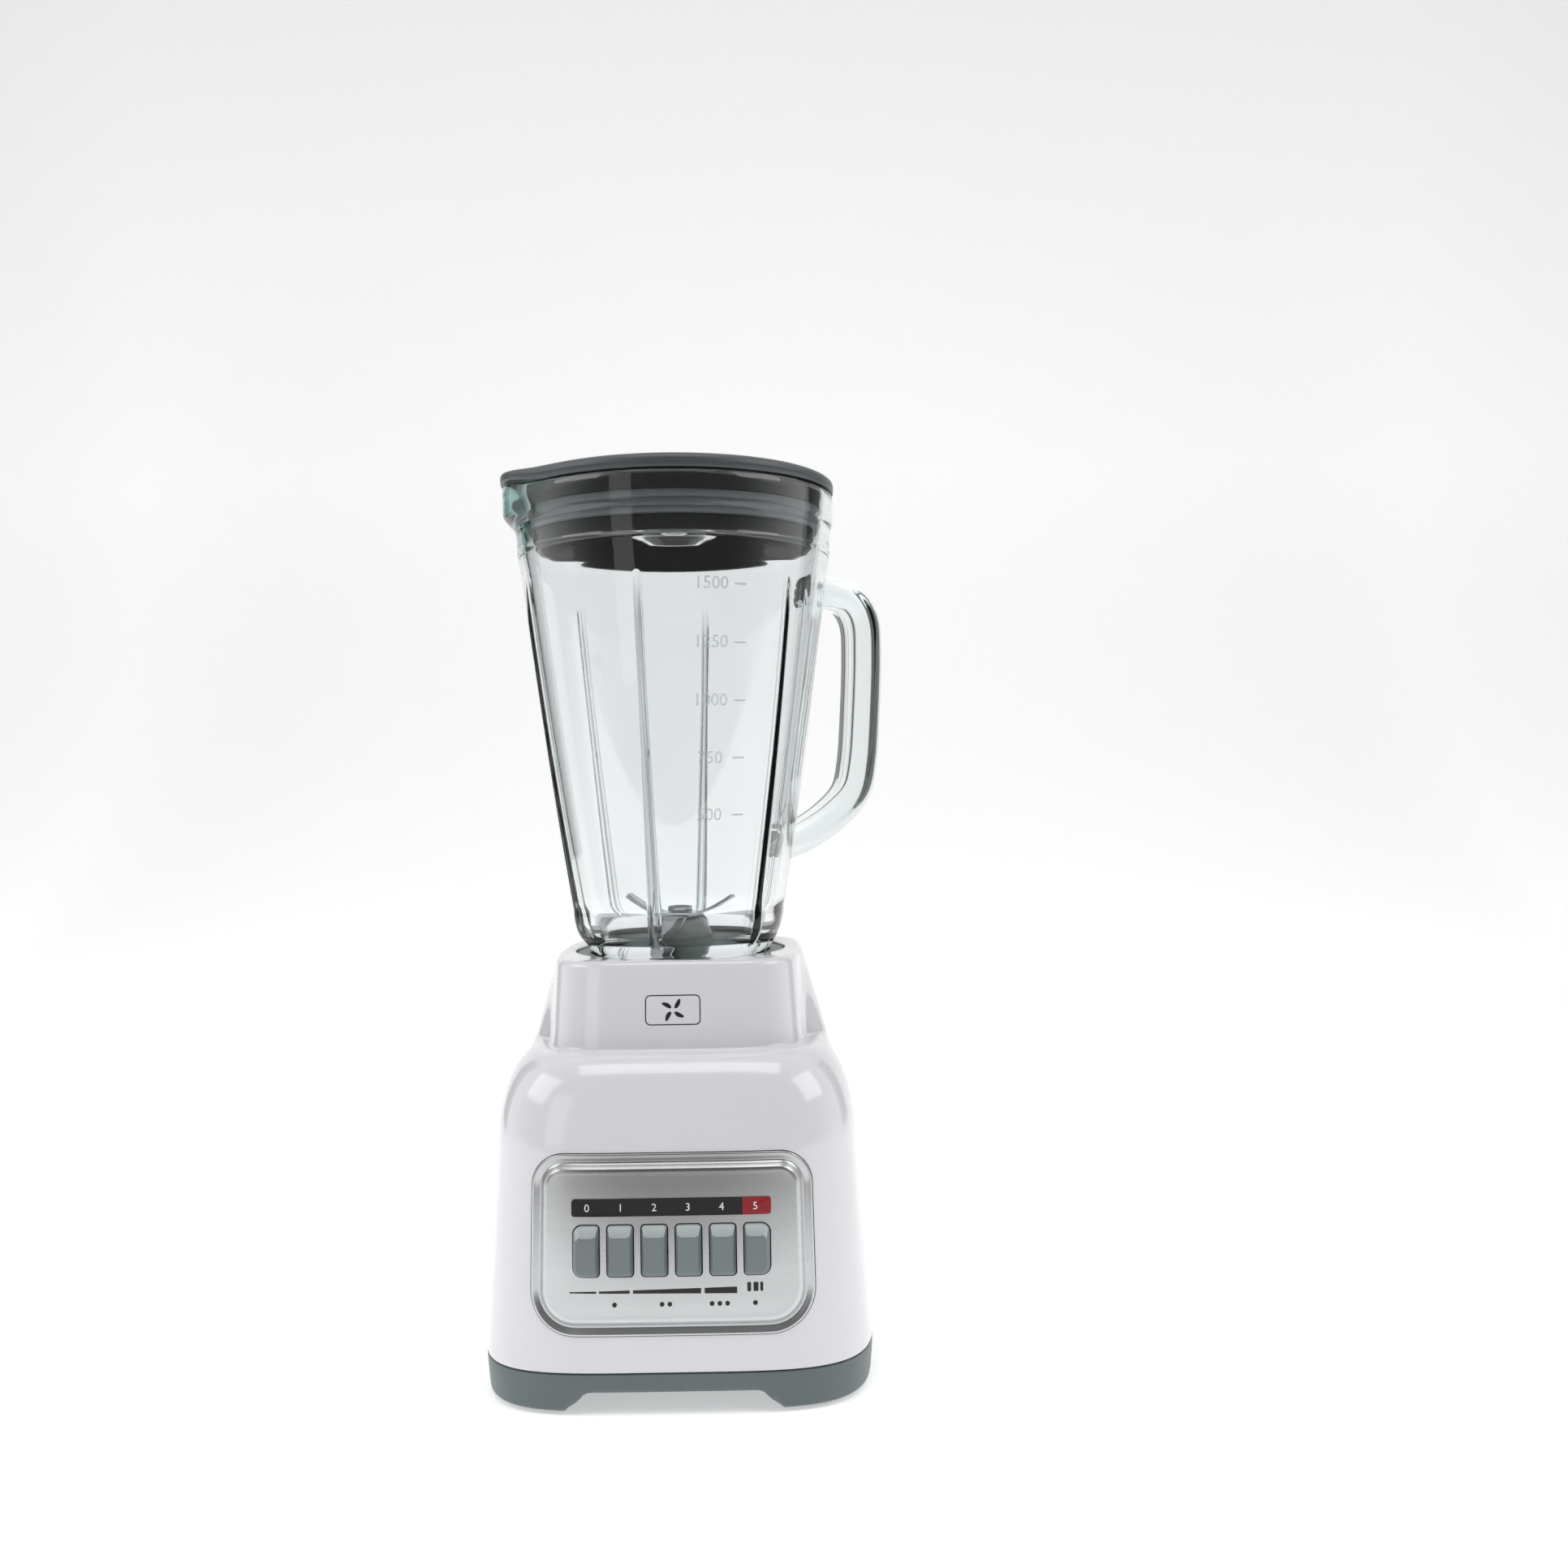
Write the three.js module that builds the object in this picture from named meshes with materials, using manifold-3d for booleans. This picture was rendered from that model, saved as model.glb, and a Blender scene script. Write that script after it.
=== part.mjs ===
// Countertop blender: a ribbed glass jar with a moulded handle, screwed into a collar that carries
// the blades, standing in the neck of a square motor base with six keys on its front.
// Millimetres, +Z up, front towards -Y. The drive axis is vertical and z = 0 is the worktop.

import * as THREE from 'three';
import { mergeVertices } from 'three/addons/utils/BufferGeometryUtils.js';
import Module from 'manifold-3d';

const wasm = await Module();
wasm.setup();

// ---------------------------------------------------------------- driving dimensions

const DEGREE = Math.PI / 180;
const GAP = 0.3;

// Where the drive axis stands, so that the whole object is centred on the origin.
const AXIS_X = -5.6;
const AXIS_Y = 0.8;

// Motor base.
const SEAM_Z = 17;
const BODY_TOP_Z = 100;
const CREASE_Z = 141;
const NECK_TOP_Z = 178.2;
const SEAM_HALF = 82.8;
const BODY_TOP_HALF = 77.5;
const CREASE_HALF = 55.5;
const SHOULDER_DROP = 19.5;
const NECK_TOP_HALF = 53;
const SIDE_KNEE_Z = 110;
const SIDE_KNEE_HALF = 75;
const SIDE_TOP_HALF = 54.5;
const SIDE_SETBACK = 1.5;
const KNEE_SOFTNESS = 4;
const DEPTH_RATIO = 1.02;
const CORNER_POWER = 4.5;
const HOUSING_WALL = 3.6;
const DECK_TOP_Z = 146;
const DECK_THICK = 4;
const CORD_Z = 34;
const CORD_HOLE_RADIUS = 6;
const BOSS_RADIUS = 6;
const SCREW_BORE_RADIUS = 2.4;

// Neck socket and the collar that stands in it.
const SOCKET_RADIUS = 47.1;
const SOCKET_STEP_Z = 173;
const CUP_RADIUS = 44;
const COLLAR_RADIUS = 46.8;
const COLLAR_TOP_Z = 177.3;
const LUG_DEPTH = 3;
const LUG_CLEARANCE = 0.6;
const LUG_SPREAD = 8;

// Base shell: a tray on four corner legs, with an arch between each two legs.
const LEG_BOTTOM_Z = 1.5;
const ARCH_TOP_Z = 9.7;
const ARCH_FOOT_HALF = 45.9;
const ARCH_TOP_HALF = 35.3;
const FLOOR_TOP_Z = 13;
const FOOT_AT = [58, 62];
const FOOT_RADIUS = 9;
const FOOT_HEIGHT = 4;
const SCREW_AT = [73, 52];

// Control panel, keys and switch block, in the leaning frame of the front face.
const PANEL_Z = 68;
const PANEL_HALF_HEIGHT = 36;
const PANEL_HALF_TOP = 56.5;
const PANEL_HALF_BOTTOM = 57.6;
const PANEL_RIM = 4.6;
const PANEL_FACE = 2.2;
const KEY_COUNT = 6;
const KEY_PITCH = 13.7;
const KEY_WIDTH = 10.2;
const KEY_HEIGHT = 20;
const KEY_MIDDLE = -2;
const KEY_PROUD = 5.8;

// Jar.
const JAR_FOOT_Z = 169.5;
const JAR_NECK_RADIUS = 39.4;
const JAR_NECK_BORE = 35;
const JAR_BASE_Z = 177.8;
const JAR_BELLY_Z = 197;
const JAR_BELLY_RADIUS = 47;
const JAR_SHOULDER_Z = 345;
const JAR_SHOULDER_RADIUS = 68.5;
const JAR_BULGE = 3.6;
const JAR_BEAD_Z = 355.5;
const BEAD_DEPTH = 1.1;
const BEAD_WIDTH = 1.5;
const JAR_LIP_Z = 365;
const JAR_LIP_RADIUS = 70.7;
const JAR_RIM_Z = 381.2;
const JAR_RIM_RADIUS = 72;
const JAR_WALL = 4.4;
const JAR_RIBS = 6;
const RIB_ANGLE = -99.6 * DEGREE;
const RIB_DEPTH = 1.5;
const JAR_TURN = 20.4 * DEGREE;
const SPOUT_REACH = 5.2;
const SPOUT_RISE = 2.6;
const HANDLE_WIDTH = 24;
const HANDLE_THICK = 14;

// Blades.
const BLADE_BEND = 0.38;
const BLADE_THICK = 1.6;

// Lid and filler cap.
const LID_EDGE_Z = 381.6;
const LID_TOP_Z = 388.6;
const LID_PLUG_RADIUS = 63;
const LID_PLUG_Z = 359;
const CAP_TOP_Z = 393.4;
const CAP_FOOT_Z = 363.5;

// Motor.
const SHAFT_RADIUS = 4;
const STATOR_Z = [64, 104];
const BRACKET_PILLARS = [34, 32];
const DAMPER_AT = 32;
const BRACKET_LOW_Z = 40;
const BRACKET_HIGH_Z = 114;
const COIL_Z = 84;
const BRUSH_Z = 53;

// ---------------------------------------------------------------- materials

const finish = (color, roughness, metalness = 0) =>
  new THREE.MeshStandardMaterial({ color, roughness, metalness });

const WHITE_GLOSS = finish('#eef0ee', 0.25);
const BASE_GREY = finish('#5b6466', 0.5);
const KEY_GREY = finish('#7b8587', 0.4);
const PANEL_STEEL = finish('#9aa0a1', 0.4, 0.8);
const LABEL_BLACK = finish('#1c1d1f', 0.4);
const COLLAR_GREY = finish('#8a9a98', 0.45);
const JAR_GLASS = finish('#dfe8e6', 0.05);
const LID_GREY = finish('#4c5254', 0.5);
const SEAL_GREY = finish('#808684', 0.7);
const CAP_CLEAR = finish('#e6ecec', 0.1);
const STEEL = finish('#c4c8ca', 0.25, 1);
const DARK_PLASTIC = finish('#2b2e30', 0.55);
const RUBBER = finish('#1d1e1f', 0.85);
const IRON = finish('#6d7072', 0.5, 0.9);
const COPPER = finish('#a8673c', 0.4, 0.8);
const CARBON = finish('#2f3133', 0.7);

// ---------------------------------------------------------------- geometry helpers

// Merges shared corners and drops the flat triangles that a revolved shape has on its axis.
function clean(geometry) {
  const bare = geometry.clone();
  bare.deleteAttribute('normal');
  bare.deleteAttribute('uv');
  const merged = mergeVertices(bare, 1e-4);
  const source = merged.index.array;
  const kept = [];
  for (let i = 0; i < source.length; i += 3) {
    const [a, b, c] = [source[i], source[i + 1], source[i + 2]];
    if (a !== b && b !== c && c !== a) kept.push(a, b, c);
  }
  merged.setIndex(kept);
  return merged;
}

function toManifold(geometry) {
  const merged = clean(geometry);
  const mesh = new wasm.Mesh({
    numProp: 3,
    vertProperties: new Float32Array(merged.attributes.position.array),
    triVerts: new Uint32Array(merged.index.array),
  });
  return new wasm.Manifold(mesh);
}

function fromManifold(manifold) {
  const mesh = manifold.getMesh();
  const geometry = new THREE.BufferGeometry();
  geometry.setAttribute('position', new THREE.BufferAttribute(new Float32Array(mesh.vertProperties), 3));
  geometry.setIndex(Array.from(mesh.triVerts));
  return geometry;
}

// Joins and cuts: one base geometry, a list to add and a list to take away.
function combine(base, added, removed) {
  let result = toManifold(base);
  for (const geometry of added) result = result.add(toManifold(geometry));
  for (const geometry of removed) result = result.subtract(toManifold(geometry));
  return fromManifold(result);
}

// One ring of points round the drive axis; radiusAt gives the radius at an angle.
function ring(count, z, radiusAt, phase = 0) {
  return Array.from({ length: count }, (_, i) => {
    const angle = phase + (i / count) * 2 * Math.PI;
    const radius = typeof radiusAt === 'function' ? radiusAt(angle) : radiusAt;
    const height = typeof z === 'function' ? z(angle) : z;
    return new THREE.Vector3(radius * Math.cos(angle), radius * Math.sin(angle), height);
  });
}

// A surface through rings, closed back to the first ring, or ended with a flat cap at both ends.
function loft(rings, isLoop) {
  const count = rings[0].length;
  const points = rings.flat();
  const faces = [];
  const spans = isLoop ? rings.length : rings.length - 1;
  for (let k = 0; k < spans; k += 1) {
    const lower = k * count;
    const upper = ((k + 1) % rings.length) * count;
    for (let i = 0; i < count; i += 1) {
      const j = (i + 1) % count;
      faces.push(lower + i, lower + j, upper + j, lower + i, upper + j, upper + i);
    }
  }
  if (!isLoop) {
    for (let i = 1; i < count - 1; i += 1) {
      const last = points.length - count;
      faces.push(0, i + 1, i, last, last + i, last + i + 1);
    }
  }
  const geometry = new THREE.BufferGeometry();
  const coordinates = points.flatMap((point) => point.toArray());
  geometry.setAttribute('position', new THREE.Float32BufferAttribute(coordinates, 3));
  geometry.setIndex(faces);
  return geometry;
}

// A profile of [radius, z] pairs revolved round the vertical axis: outside upwards, inside downwards.
function turned(profile, segments = 24, isLoop = true) {
  const points = profile.map(([radius, z]) => new THREE.Vector2(radius, z));
  if (isLoop) points.push(points[0].clone());
  return new THREE.LatheGeometry(points, segments).rotateX(Math.PI / 2);
}

const tube = (outer, inner, low, high, segments = 20) =>
  turned([[outer, low], [outer, high], [inner, high], [inner, low]], segments);

const rod = (radius, low, high, segments = 16) =>
  turned([[0, low], [radius, low], [radius, high], [0, high]], segments, false);

const block = (sizeX, sizeY, sizeZ, x, y, z) =>
  new THREE.BoxGeometry(sizeX, sizeY, sizeZ).translate(x, y, z);

// Points of an arc, both ends included.
function arc(x, y, radius, start, end, segments) {
  return Array.from({ length: segments + 1 }, (_, i) => {
    const angle = start + ((end - start) * i) / segments;
    return new THREE.Vector2(x + radius * Math.cos(angle), y + radius * Math.sin(angle));
  });
}

// Outline with rounded corners; the upper and the lower pair can differ in place and radius.
function roundedOutline(upper, lower, segments = 2) {
  const quarter = Math.PI / 2;
  return [
    ...arc(lower.x - lower.radius, -lower.y + lower.radius, lower.radius, -quarter, 0, segments),
    ...arc(upper.x - upper.radius, upper.y - upper.radius, upper.radius, 0, quarter, segments),
    ...arc(-upper.x + upper.radius, upper.y - upper.radius, upper.radius, quarter, Math.PI, segments),
    ...arc(-lower.x + lower.radius, -lower.y + lower.radius, lower.radius, Math.PI, 3 * quarter, segments),
  ];
}

function roundedRectangle(x, y, radius, segments = 2) {
  return roundedOutline({ x, y, radius }, { x, y, radius }, segments);
}

function slab(points, low, high, holes = []) {
  const shape = new THREE.Shape(points);
  for (const hole of holes) shape.holes.push(new THREE.Path([...hole].reverse()));
  const geometry = new THREE.ExtrudeGeometry(shape, { depth: high - low, bevelEnabled: false });
  return geometry.translate(0, 0, low);
}

const mix = (from, to, share) => from + (to - from) * share;

function smooth(low, high, value) {
  const share = Math.min(1, Math.max(0, (value - low) / (high - low)));
  return share * share * (3 - 2 * share);
}

const cornersOf = ([x, y]) => [[-x, -y], [x, -y], [x, y], [-x, y]];

const copiesAt = (place, geometry) =>
  cornersOf(place).map(([x, y]) => geometry.clone().translate(x, y, 0));

// ---------------------------------------------------------------- object tree

const blender = new THREE.Group();
const onAxis = new THREE.Group();
onAxis.position.set(AXIS_X, AXIS_Y, 0);
blender.add(onAxis);

function add(name, geometry, material, parent = onAxis) {
  const mesh = new THREE.Mesh(clean(geometry), material.clone());
  mesh.name = name;
  parent.add(mesh);
  return mesh;
}

// ---------------------------------------------------------------- outer shape of the motor base

// Front half-width: a leaning wall, a rounded shoulder up to the crease, then the tapered neck.
function frontHalf(z) {
  const wall = mix(SEAM_HALF, BODY_TOP_HALF, (z - SEAM_Z) / (BODY_TOP_Z - SEAM_Z));
  if (z <= BODY_TOP_Z) return wall;
  const neck = mix(CREASE_HALF, NECK_TOP_HALF, (z - CREASE_Z) / (NECK_TOP_Z - CREASE_Z));
  const rise = Math.min(1, (z - BODY_TOP_Z) / (CREASE_Z + 0.3 - BODY_TOP_Z));
  const shoulder = BODY_TOP_HALF - SHOULDER_DROP * (1 - Math.sqrt(1 - rise * rise));
  return z < CREASE_Z ? Math.max(shoulder, neck) : neck;
}

// Side and back half-width: the same wall, bending at a soft knee into one long slope.
function sideHalf(z) {
  const wall = mix(SEAM_HALF, BODY_TOP_HALF, (z - SEAM_Z) / (BODY_TOP_Z - SEAM_Z)) - SIDE_SETBACK;
  const slope = mix(SIDE_TOP_HALF, SIDE_KNEE_HALF, (NECK_TOP_Z - z) / (NECK_TOP_Z - SIDE_KNEE_Z));
  return -KNEE_SOFTNESS * Math.log(Math.exp(-wall / KNEE_SOFTNESS) + Math.exp(-slope / KNEE_SOFTNESS));
}

function outline(z, inset = 0) {
  return (angle) => {
    const towardsFront = smooth(0.05, 0.45, -Math.sin(angle));
    const half = mix(sideHalf(z), frontHalf(z), towardsFront) - inset;
    const across = Math.abs(Math.cos(angle) / half) ** CORNER_POWER;
    const along = Math.abs(Math.sin(angle) / (half * DEPTH_RATIO)) ** CORNER_POWER;
    return (across + along) ** (-1 / CORNER_POWER);
  };
}

const faceDepth = (z) => frontHalf(z) * DEPTH_RATIO;
const panelLean = Math.atan2(
  faceDepth(PANEL_Z - PANEL_HALF_HEIGHT) - faceDepth(PANEL_Z + PANEL_HALF_HEIGHT),
  2 * PANEL_HALF_HEIGHT,
);
const panelFrame = new THREE.Group();
panelFrame.position.set(0, -faceDepth(PANEL_Z), PANEL_Z);
panelFrame.rotation.x = Math.PI / 2 - panelLean;
panelFrame.updateMatrix();
onAxis.add(panelFrame);
const inPanelFrame = (geometry) => geometry.applyMatrix4(panelFrame.matrix);

// ---------------------------------------------------------------- motor housing and base shell

const SIDES = 40;

// The collar has four lugs, one towards each corner of the motor base.
const degreesFromLug = (angle) => Math.abs(((angle / DEGREE + 360) % 90) - 45);
const socketBore = (angle) => {
  const isLug = degreesFromLug(angle) < LUG_SPREAD;
  return CUP_RADIUS + LUG_CLEARANCE + (isLug ? LUG_DEPTH : 0);
};

function panelOutline(grow) {
  const y = PANEL_HALF_HEIGHT + grow;
  const upper = { x: PANEL_HALF_TOP + grow, y, radius: 13 + grow };
  const lower = { x: PANEL_HALF_BOTTOM + grow, y, radius: 18 + grow };
  return roundedOutline(upper, lower, 4);
}

function motorHousing() {
  const low = SEAM_Z + GAP;
  const deckLow = DECK_TOP_Z - DECK_THICK;
  const levels = [low, BODY_TOP_Z, 112, 122, 130, 135.5, 139, CREASE_Z, 150, NECK_TOP_Z - 2.8];
  const rings = levels.map((z) => ring(SIDES, z, outline(z)));
  rings.push(ring(SIDES, NECK_TOP_Z - 0.8, outline(NECK_TOP_Z, 0.8)));
  rings.push(ring(SIDES, NECK_TOP_Z, outline(NECK_TOP_Z, 2.6)));
  rings.push(ring(SIDES, NECK_TOP_Z, SOCKET_RADIUS));
  rings.push(ring(SIDES, SOCKET_STEP_Z, SOCKET_RADIUS));
  rings.push(ring(SIDES, SOCKET_STEP_Z, socketBore));
  rings.push(ring(SIDES, DECK_TOP_Z, socketBore));
  rings.push(ring(SIDES, DECK_TOP_Z, 9));
  rings.push(ring(SIDES, deckLow, 9));
  for (const z of [deckLow, 112, low]) rings.push(ring(SIDES, z, outline(z, HOUSING_WALL)));
  const shell = loft(rings, true);
  const boss = rod(BOSS_RADIUS, low, 38, 12);
  const bore = rod(SCREW_BORE_RADIUS, low - 5, 34, 10);
  const bosses = copiesAt(SCREW_AT, boss);
  const bores = copiesAt(SCREW_AT, bore);
  const pocket = inPanelFrame(slab(panelOutline(GAP), -3, 12));
  const opening = inPanelFrame(slab(roundedRectangle(47.5, 29, 6), -14, 12));
  const cordHole = rod(CORD_HOLE_RADIUS, 0, 30, 16).rotateX(-Math.PI / 2).translate(0, 65, CORD_Z);
  return combine(shell, bosses, [pocket, opening, cordHole, ...bores]);
}

function baseShell() {
  const top = SEAM_Z - GAP;
  const rings = [
    ring(SIDES, LEG_BOTTOM_Z, outline(SEAM_Z, 1.2)),
    ring(SIDES, top, outline(SEAM_Z, 0.2)),
  ];
  rings.push(ring(SIDES, top, outline(SEAM_Z, HOUSING_WALL)));
  rings.push(ring(SIDES, FLOOR_TOP_Z, outline(SEAM_Z, HOUSING_WALL)));
  const tray = loft(rings, false);
  const posts = copiesAt(SCREW_AT, rod(BOSS_RADIUS, FLOOR_TOP_Z - 1, top, 12));
  const archPoints = [
    new THREE.Vector2(-ARCH_FOOT_HALF, -2),
    new THREE.Vector2(ARCH_FOOT_HALF, -2),
    new THREE.Vector2(ARCH_TOP_HALF, ARCH_TOP_Z),
    new THREE.Vector2(-ARCH_TOP_HALF, ARCH_TOP_Z),
  ];
  const arch = slab(archPoints, -110, 110).rotateX(Math.PI / 2);
  const sideArch = arch.clone().rotateZ(Math.PI / 2);
  const recesses = copiesAt(FOOT_AT, rod(FOOT_RADIUS + 0.5, -2, FOOT_HEIGHT + GAP, 14));
  const bores = copiesAt(SCREW_AT, rod(SCREW_BORE_RADIUS, -2, 25, 10));
  const heads = copiesAt(SCREW_AT, rod(4.4, -2, 7.3, 12));
  const vents = [-24, -12, 0, 12, 24].map((x) => block(4, 52, 10, x, 0, 12));
  return combine(tray, posts, [arch, sideArch, ...recesses, ...bores, ...heads, ...vents]);
}

add('motor_housing', motorHousing(), WHITE_GLOSS);
add('base_shell', baseShell(), BASE_GREY);

cornersOf(FOOT_AT).forEach(([x, y], i) => {
  add(`foot_pad_${i + 1}`, rod(FOOT_RADIUS, 0, FOOT_HEIGHT, 14), RUBBER).position.set(x, y, 0);
});
cornersOf(SCREW_AT).forEach(([x, y], i) => {
  const screw = turned([[0, 4], [4, 4], [4, 7], [2, 7], [2, 31], [0, 32]], 10, false);
  add(`base_screw_${i + 1}`, screw, STEEL).position.set(x, y, 0);
});

const glandProfile = [
  [3.6, -7.5], [7.6, -7.5], [7.6, -5.5], [5.5, -5.5], [5.5, 1.2], [9, 1.2], [8, 4], [3.6, 4],
];
const gland = turned(glandProfile, 12).rotateX(-Math.PI / 2);
const backWall = outline(CORD_Z)(Math.PI / 2);
add('cord_gland', gland, DARK_PLASTIC).position.set(0, backWall, CORD_Z);

// ---------------------------------------------------------------- control panel and keys

const keyPlaces = Array.from({ length: KEY_COUNT }, (_, i) => (i - (KEY_COUNT - 1) / 2) * KEY_PITCH);

function controlPanel() {
  const flange = slab(panelOutline(0), -2.7, 0.9);
  const plate = slab(panelOutline(-PANEL_RIM), 0, PANEL_FACE);
  const windows = keyPlaces.map((x) => block(KEY_WIDTH + 0.6, KEY_HEIGHT + 0.6, 20, x, KEY_MIDDLE, 0));
  return combine(flange, [plate], windows);
}

function keyCap() {
  const half = KEY_WIDTH / 2;
  const top = KEY_HEIGHT / 2;
  const bevel = 1.1;
  const section = (inset, z) => [
    new THREE.Vector3(-half + inset, -top + inset, z),
    new THREE.Vector3(half - inset, -top + inset, z),
    new THREE.Vector3(half - inset, top - inset, z),
    new THREE.Vector3(-half + inset, top - inset, z),
  ];
  const cap = loft([section(0, -5), section(0, KEY_PROUD - bevel), section(bevel, KEY_PROUD)], false);
  const flange = block(12.4, 22.4, 2, 0, 0, -4.05);
  const stem = rod(2.4, -20, -4.5, 10);
  return combine(cap, [flange, stem], []);
}

function switchFrame() {
  const back = block(93, 28, 8, 0, 0, -19);
  const ends = [-45, 45].map((x) => block(3, 28, 13, x, 0, -9.6));
  const holes = keyPlaces.map((x) => rod(2.9, -30, 0, 12).translate(x, 0, 0));
  return combine(back, ends, holes);
}

function keySpring() {
  const turns = 3;
  const pitchRadius = 3.9;
  const steps = turns * 5;
  const points = Array.from({ length: steps + 1 }, (_, i) => {
    const angle = (i / steps) * turns * 2 * Math.PI;
    const height = mix(-14.2, -6, i / steps);
    return new THREE.Vector3(pitchRadius * Math.cos(angle), pitchRadius * Math.sin(angle), height);
  });
  const wire = new THREE.Shape(arc(0, 0, 0.5, 0, 4.2, 2));
  const path = new THREE.CatmullRomCurve3(points);
  return new THREE.ExtrudeGeometry(wire, { steps, extrudePath: path, bevelEnabled: false });
}

add('control_panel', controlPanel(), PANEL_STEEL, panelFrame);
const labelStrip = slab(roundedRectangle(40, 3.4, 1), PANEL_FACE + GAP, PANEL_FACE + 0.8);
add('label_strip', labelStrip, LABEL_BLACK, panelFrame).position.set(0, 15, 0);
add('switch_frame', switchFrame(), DARK_PLASTIC, panelFrame).position.set(0, KEY_MIDDLE, 0);
keyPlaces.forEach((x, i) => {
  add(`key_${i + 1}`, keyCap(), KEY_GREY, panelFrame).position.set(x, KEY_MIDDLE, 0);
  add(`key_spring_${i + 1}`, keySpring(), STEEL, panelFrame).position.set(x, KEY_MIDDLE, 0);
});

// ---------------------------------------------------------------- motor

function statorCore() {
  const [low, high] = STATOR_Z;
  const slots = cornersOf([29, 21.5]).map(([x, y]) => block(8, 8, 80, x, y, COIL_Z));
  const bore = rod(23.4, low - 9, high + 9, 20);
  return combine(slab(roundedRectangle(40, 38, 10), low, high), [], [bore, ...slots]);
}

function fieldCoil() {
  const inside = roundedRectangle(18, 20 + 2 * GAP, 1);
  return slab(roundedRectangle(25, 28, 6), -3.6, 3.6, [inside]).rotateX(Math.PI / 2).rotateZ(Math.PI / 2);
}

// A plate with a bearing hole and four pillars that reach the iron core.
function motorBracket(plateLow, plateHigh, pillarEnd) {
  const [low, high] = pillarEnd > plateHigh ? [plateHigh - 1, pillarEnd] : [pillarEnd, plateLow + 1];
  const pillars = cornersOf(BRACKET_PILLARS).map(([x, y]) => rod(4, low, high, 8).translate(x, y, 0));
  const middle = (plateLow + plateHigh) / 2;
  const lightening = [-24, 24].map((x) => block(13, 40, 20, x, 0, middle));
  const bore = rod(11.5, plateLow - 5, plateHigh + 5, 20);
  return combine(slab(roundedRectangle(40, 38, 8), plateLow, plateHigh), pillars, [bore, ...lightening]);
}

function armatureCore() {
  const teeth = 12;
  const toothCorners = [[-0.22, 22], [0.22, 22], [0.2, 17], [0.32, 17]];
  const points = [];
  for (let i = 0; i < teeth; i += 1) {
    for (const [turn, radius] of toothCorners) {
      const angle = (i / teeth) * 2 * Math.PI + turn;
      points.push(new THREE.Vector2(radius * Math.cos(angle), radius * Math.sin(angle)));
    }
  }
  const bore = arc(0, 0, SHAFT_RADIUS + GAP, 0, 2 * Math.PI, 16).slice(1);
  return slab(points, STATOR_Z[0] + 1, STATOR_Z[1] - 1, [bore]);
}

function coolingFan() {
  const vanes = Array.from({ length: 8 }, (_, i) =>
    block(22, 1.6, 10, 21, 0, 29).rotateZ((i / 8) * 2 * Math.PI));
  const disc = tube(33, SHAFT_RADIUS + GAP, 22, 24.5);
  const hub = tube(11, SHAFT_RADIUS + GAP, 23, 34);
  return combine(disc, [hub, ...vanes], []);
}

// Half of a dog clutch: a disc with three lugs that stand between the other half's lugs.
function dogClutch(discLow, discHigh, lugEnd, turn, boreRadius) {
  const lugs = Array.from({ length: 3 }, (_, i) => {
    const start = turn + (i / 3) * 2 * Math.PI - 24 * DEGREE;
    const end = start + 48 * DEGREE;
    const sector = [...arc(0, 0, 16, start, end, 3), ...arc(0, 0, 8, end, start, 2)];
    const middle = (discLow + discHigh) / 2;
    return slab(sector, Math.min(middle, lugEnd), Math.max(middle, lugEnd));
  });
  return combine(tube(17, boreRadius, discLow, discHigh, 18), lugs, []);
}

add('stator_core', statorCore(), IRON);
for (const [coilName, brushName, side] of [['left', 'front', -1], ['right', 'back', 1]]) {
  const holder = combine(block(11, 15, 13, 0, 0, 0), [], [block(6.8, 40, 8.8, 0, 0, 0)]);
  const brush = block(6.2, 13, 8.2, 0, 0, 0);
  add(`field_coil_${coilName}`, fieldCoil(), COPPER).position.set(side * 29, 0, COIL_Z);
  add(`brush_holder_${brushName}`, holder, DARK_PLASTIC).position.set(0, side * 21, BRUSH_Z);
  add(`carbon_brush_${brushName}`, brush, CARBON).position.set(0, side * 18.2, BRUSH_Z);
}
add('motor_bracket_lower', motorBracket(BRACKET_LOW_Z, BRACKET_LOW_Z + 5, STATOR_Z[0] - GAP), IRON);
add('motor_bracket_upper', motorBracket(BRACKET_HIGH_Z, BRACKET_HIGH_Z + 5, STATOR_Z[1] + GAP), IRON);
add('bearing_lower', tube(11, SHAFT_RADIUS + GAP, BRACKET_LOW_Z - 1, BRACKET_LOW_Z + 6), STEEL);
add('bearing_upper', tube(11, SHAFT_RADIUS + GAP, BRACKET_HIGH_Z - 1, BRACKET_HIGH_Z + 6), STEEL);
cornersOf([DAMPER_AT, DAMPER_AT]).forEach(([x, y], i) => {
  const damper = rod(6, BRACKET_HIGH_Z + 5 + GAP, DECK_TOP_Z - DECK_THICK - GAP, 12);
  add(`motor_damper_${i + 1}`, damper, RUBBER).position.set(x, y, 0);
});

add('motor_shaft', rod(SHAFT_RADIUS, 19, 151), STEEL);
add('armature_core', armatureCore(), IRON);
add('commutator', tube(11, SHAFT_RADIUS + GAP, 47, 60, 24), COPPER);
add('cooling_fan', coolingFan(), DARK_PLASTIC);
add('drive_coupling', dogClutch(147, 151.4, 156.4, 0, SHAFT_RADIUS + GAP), DARK_PLASTIC);

// ---------------------------------------------------------------- jar

const JAR_SIDES = 36;
const spoutAngle = Math.PI + JAR_TURN;

// Smallest turn between two directions.
function turnBetween(angle, other) {
  const turn = Math.abs(angle - other) % (2 * Math.PI);
  return Math.min(turn, 2 * Math.PI - turn);
}

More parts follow.
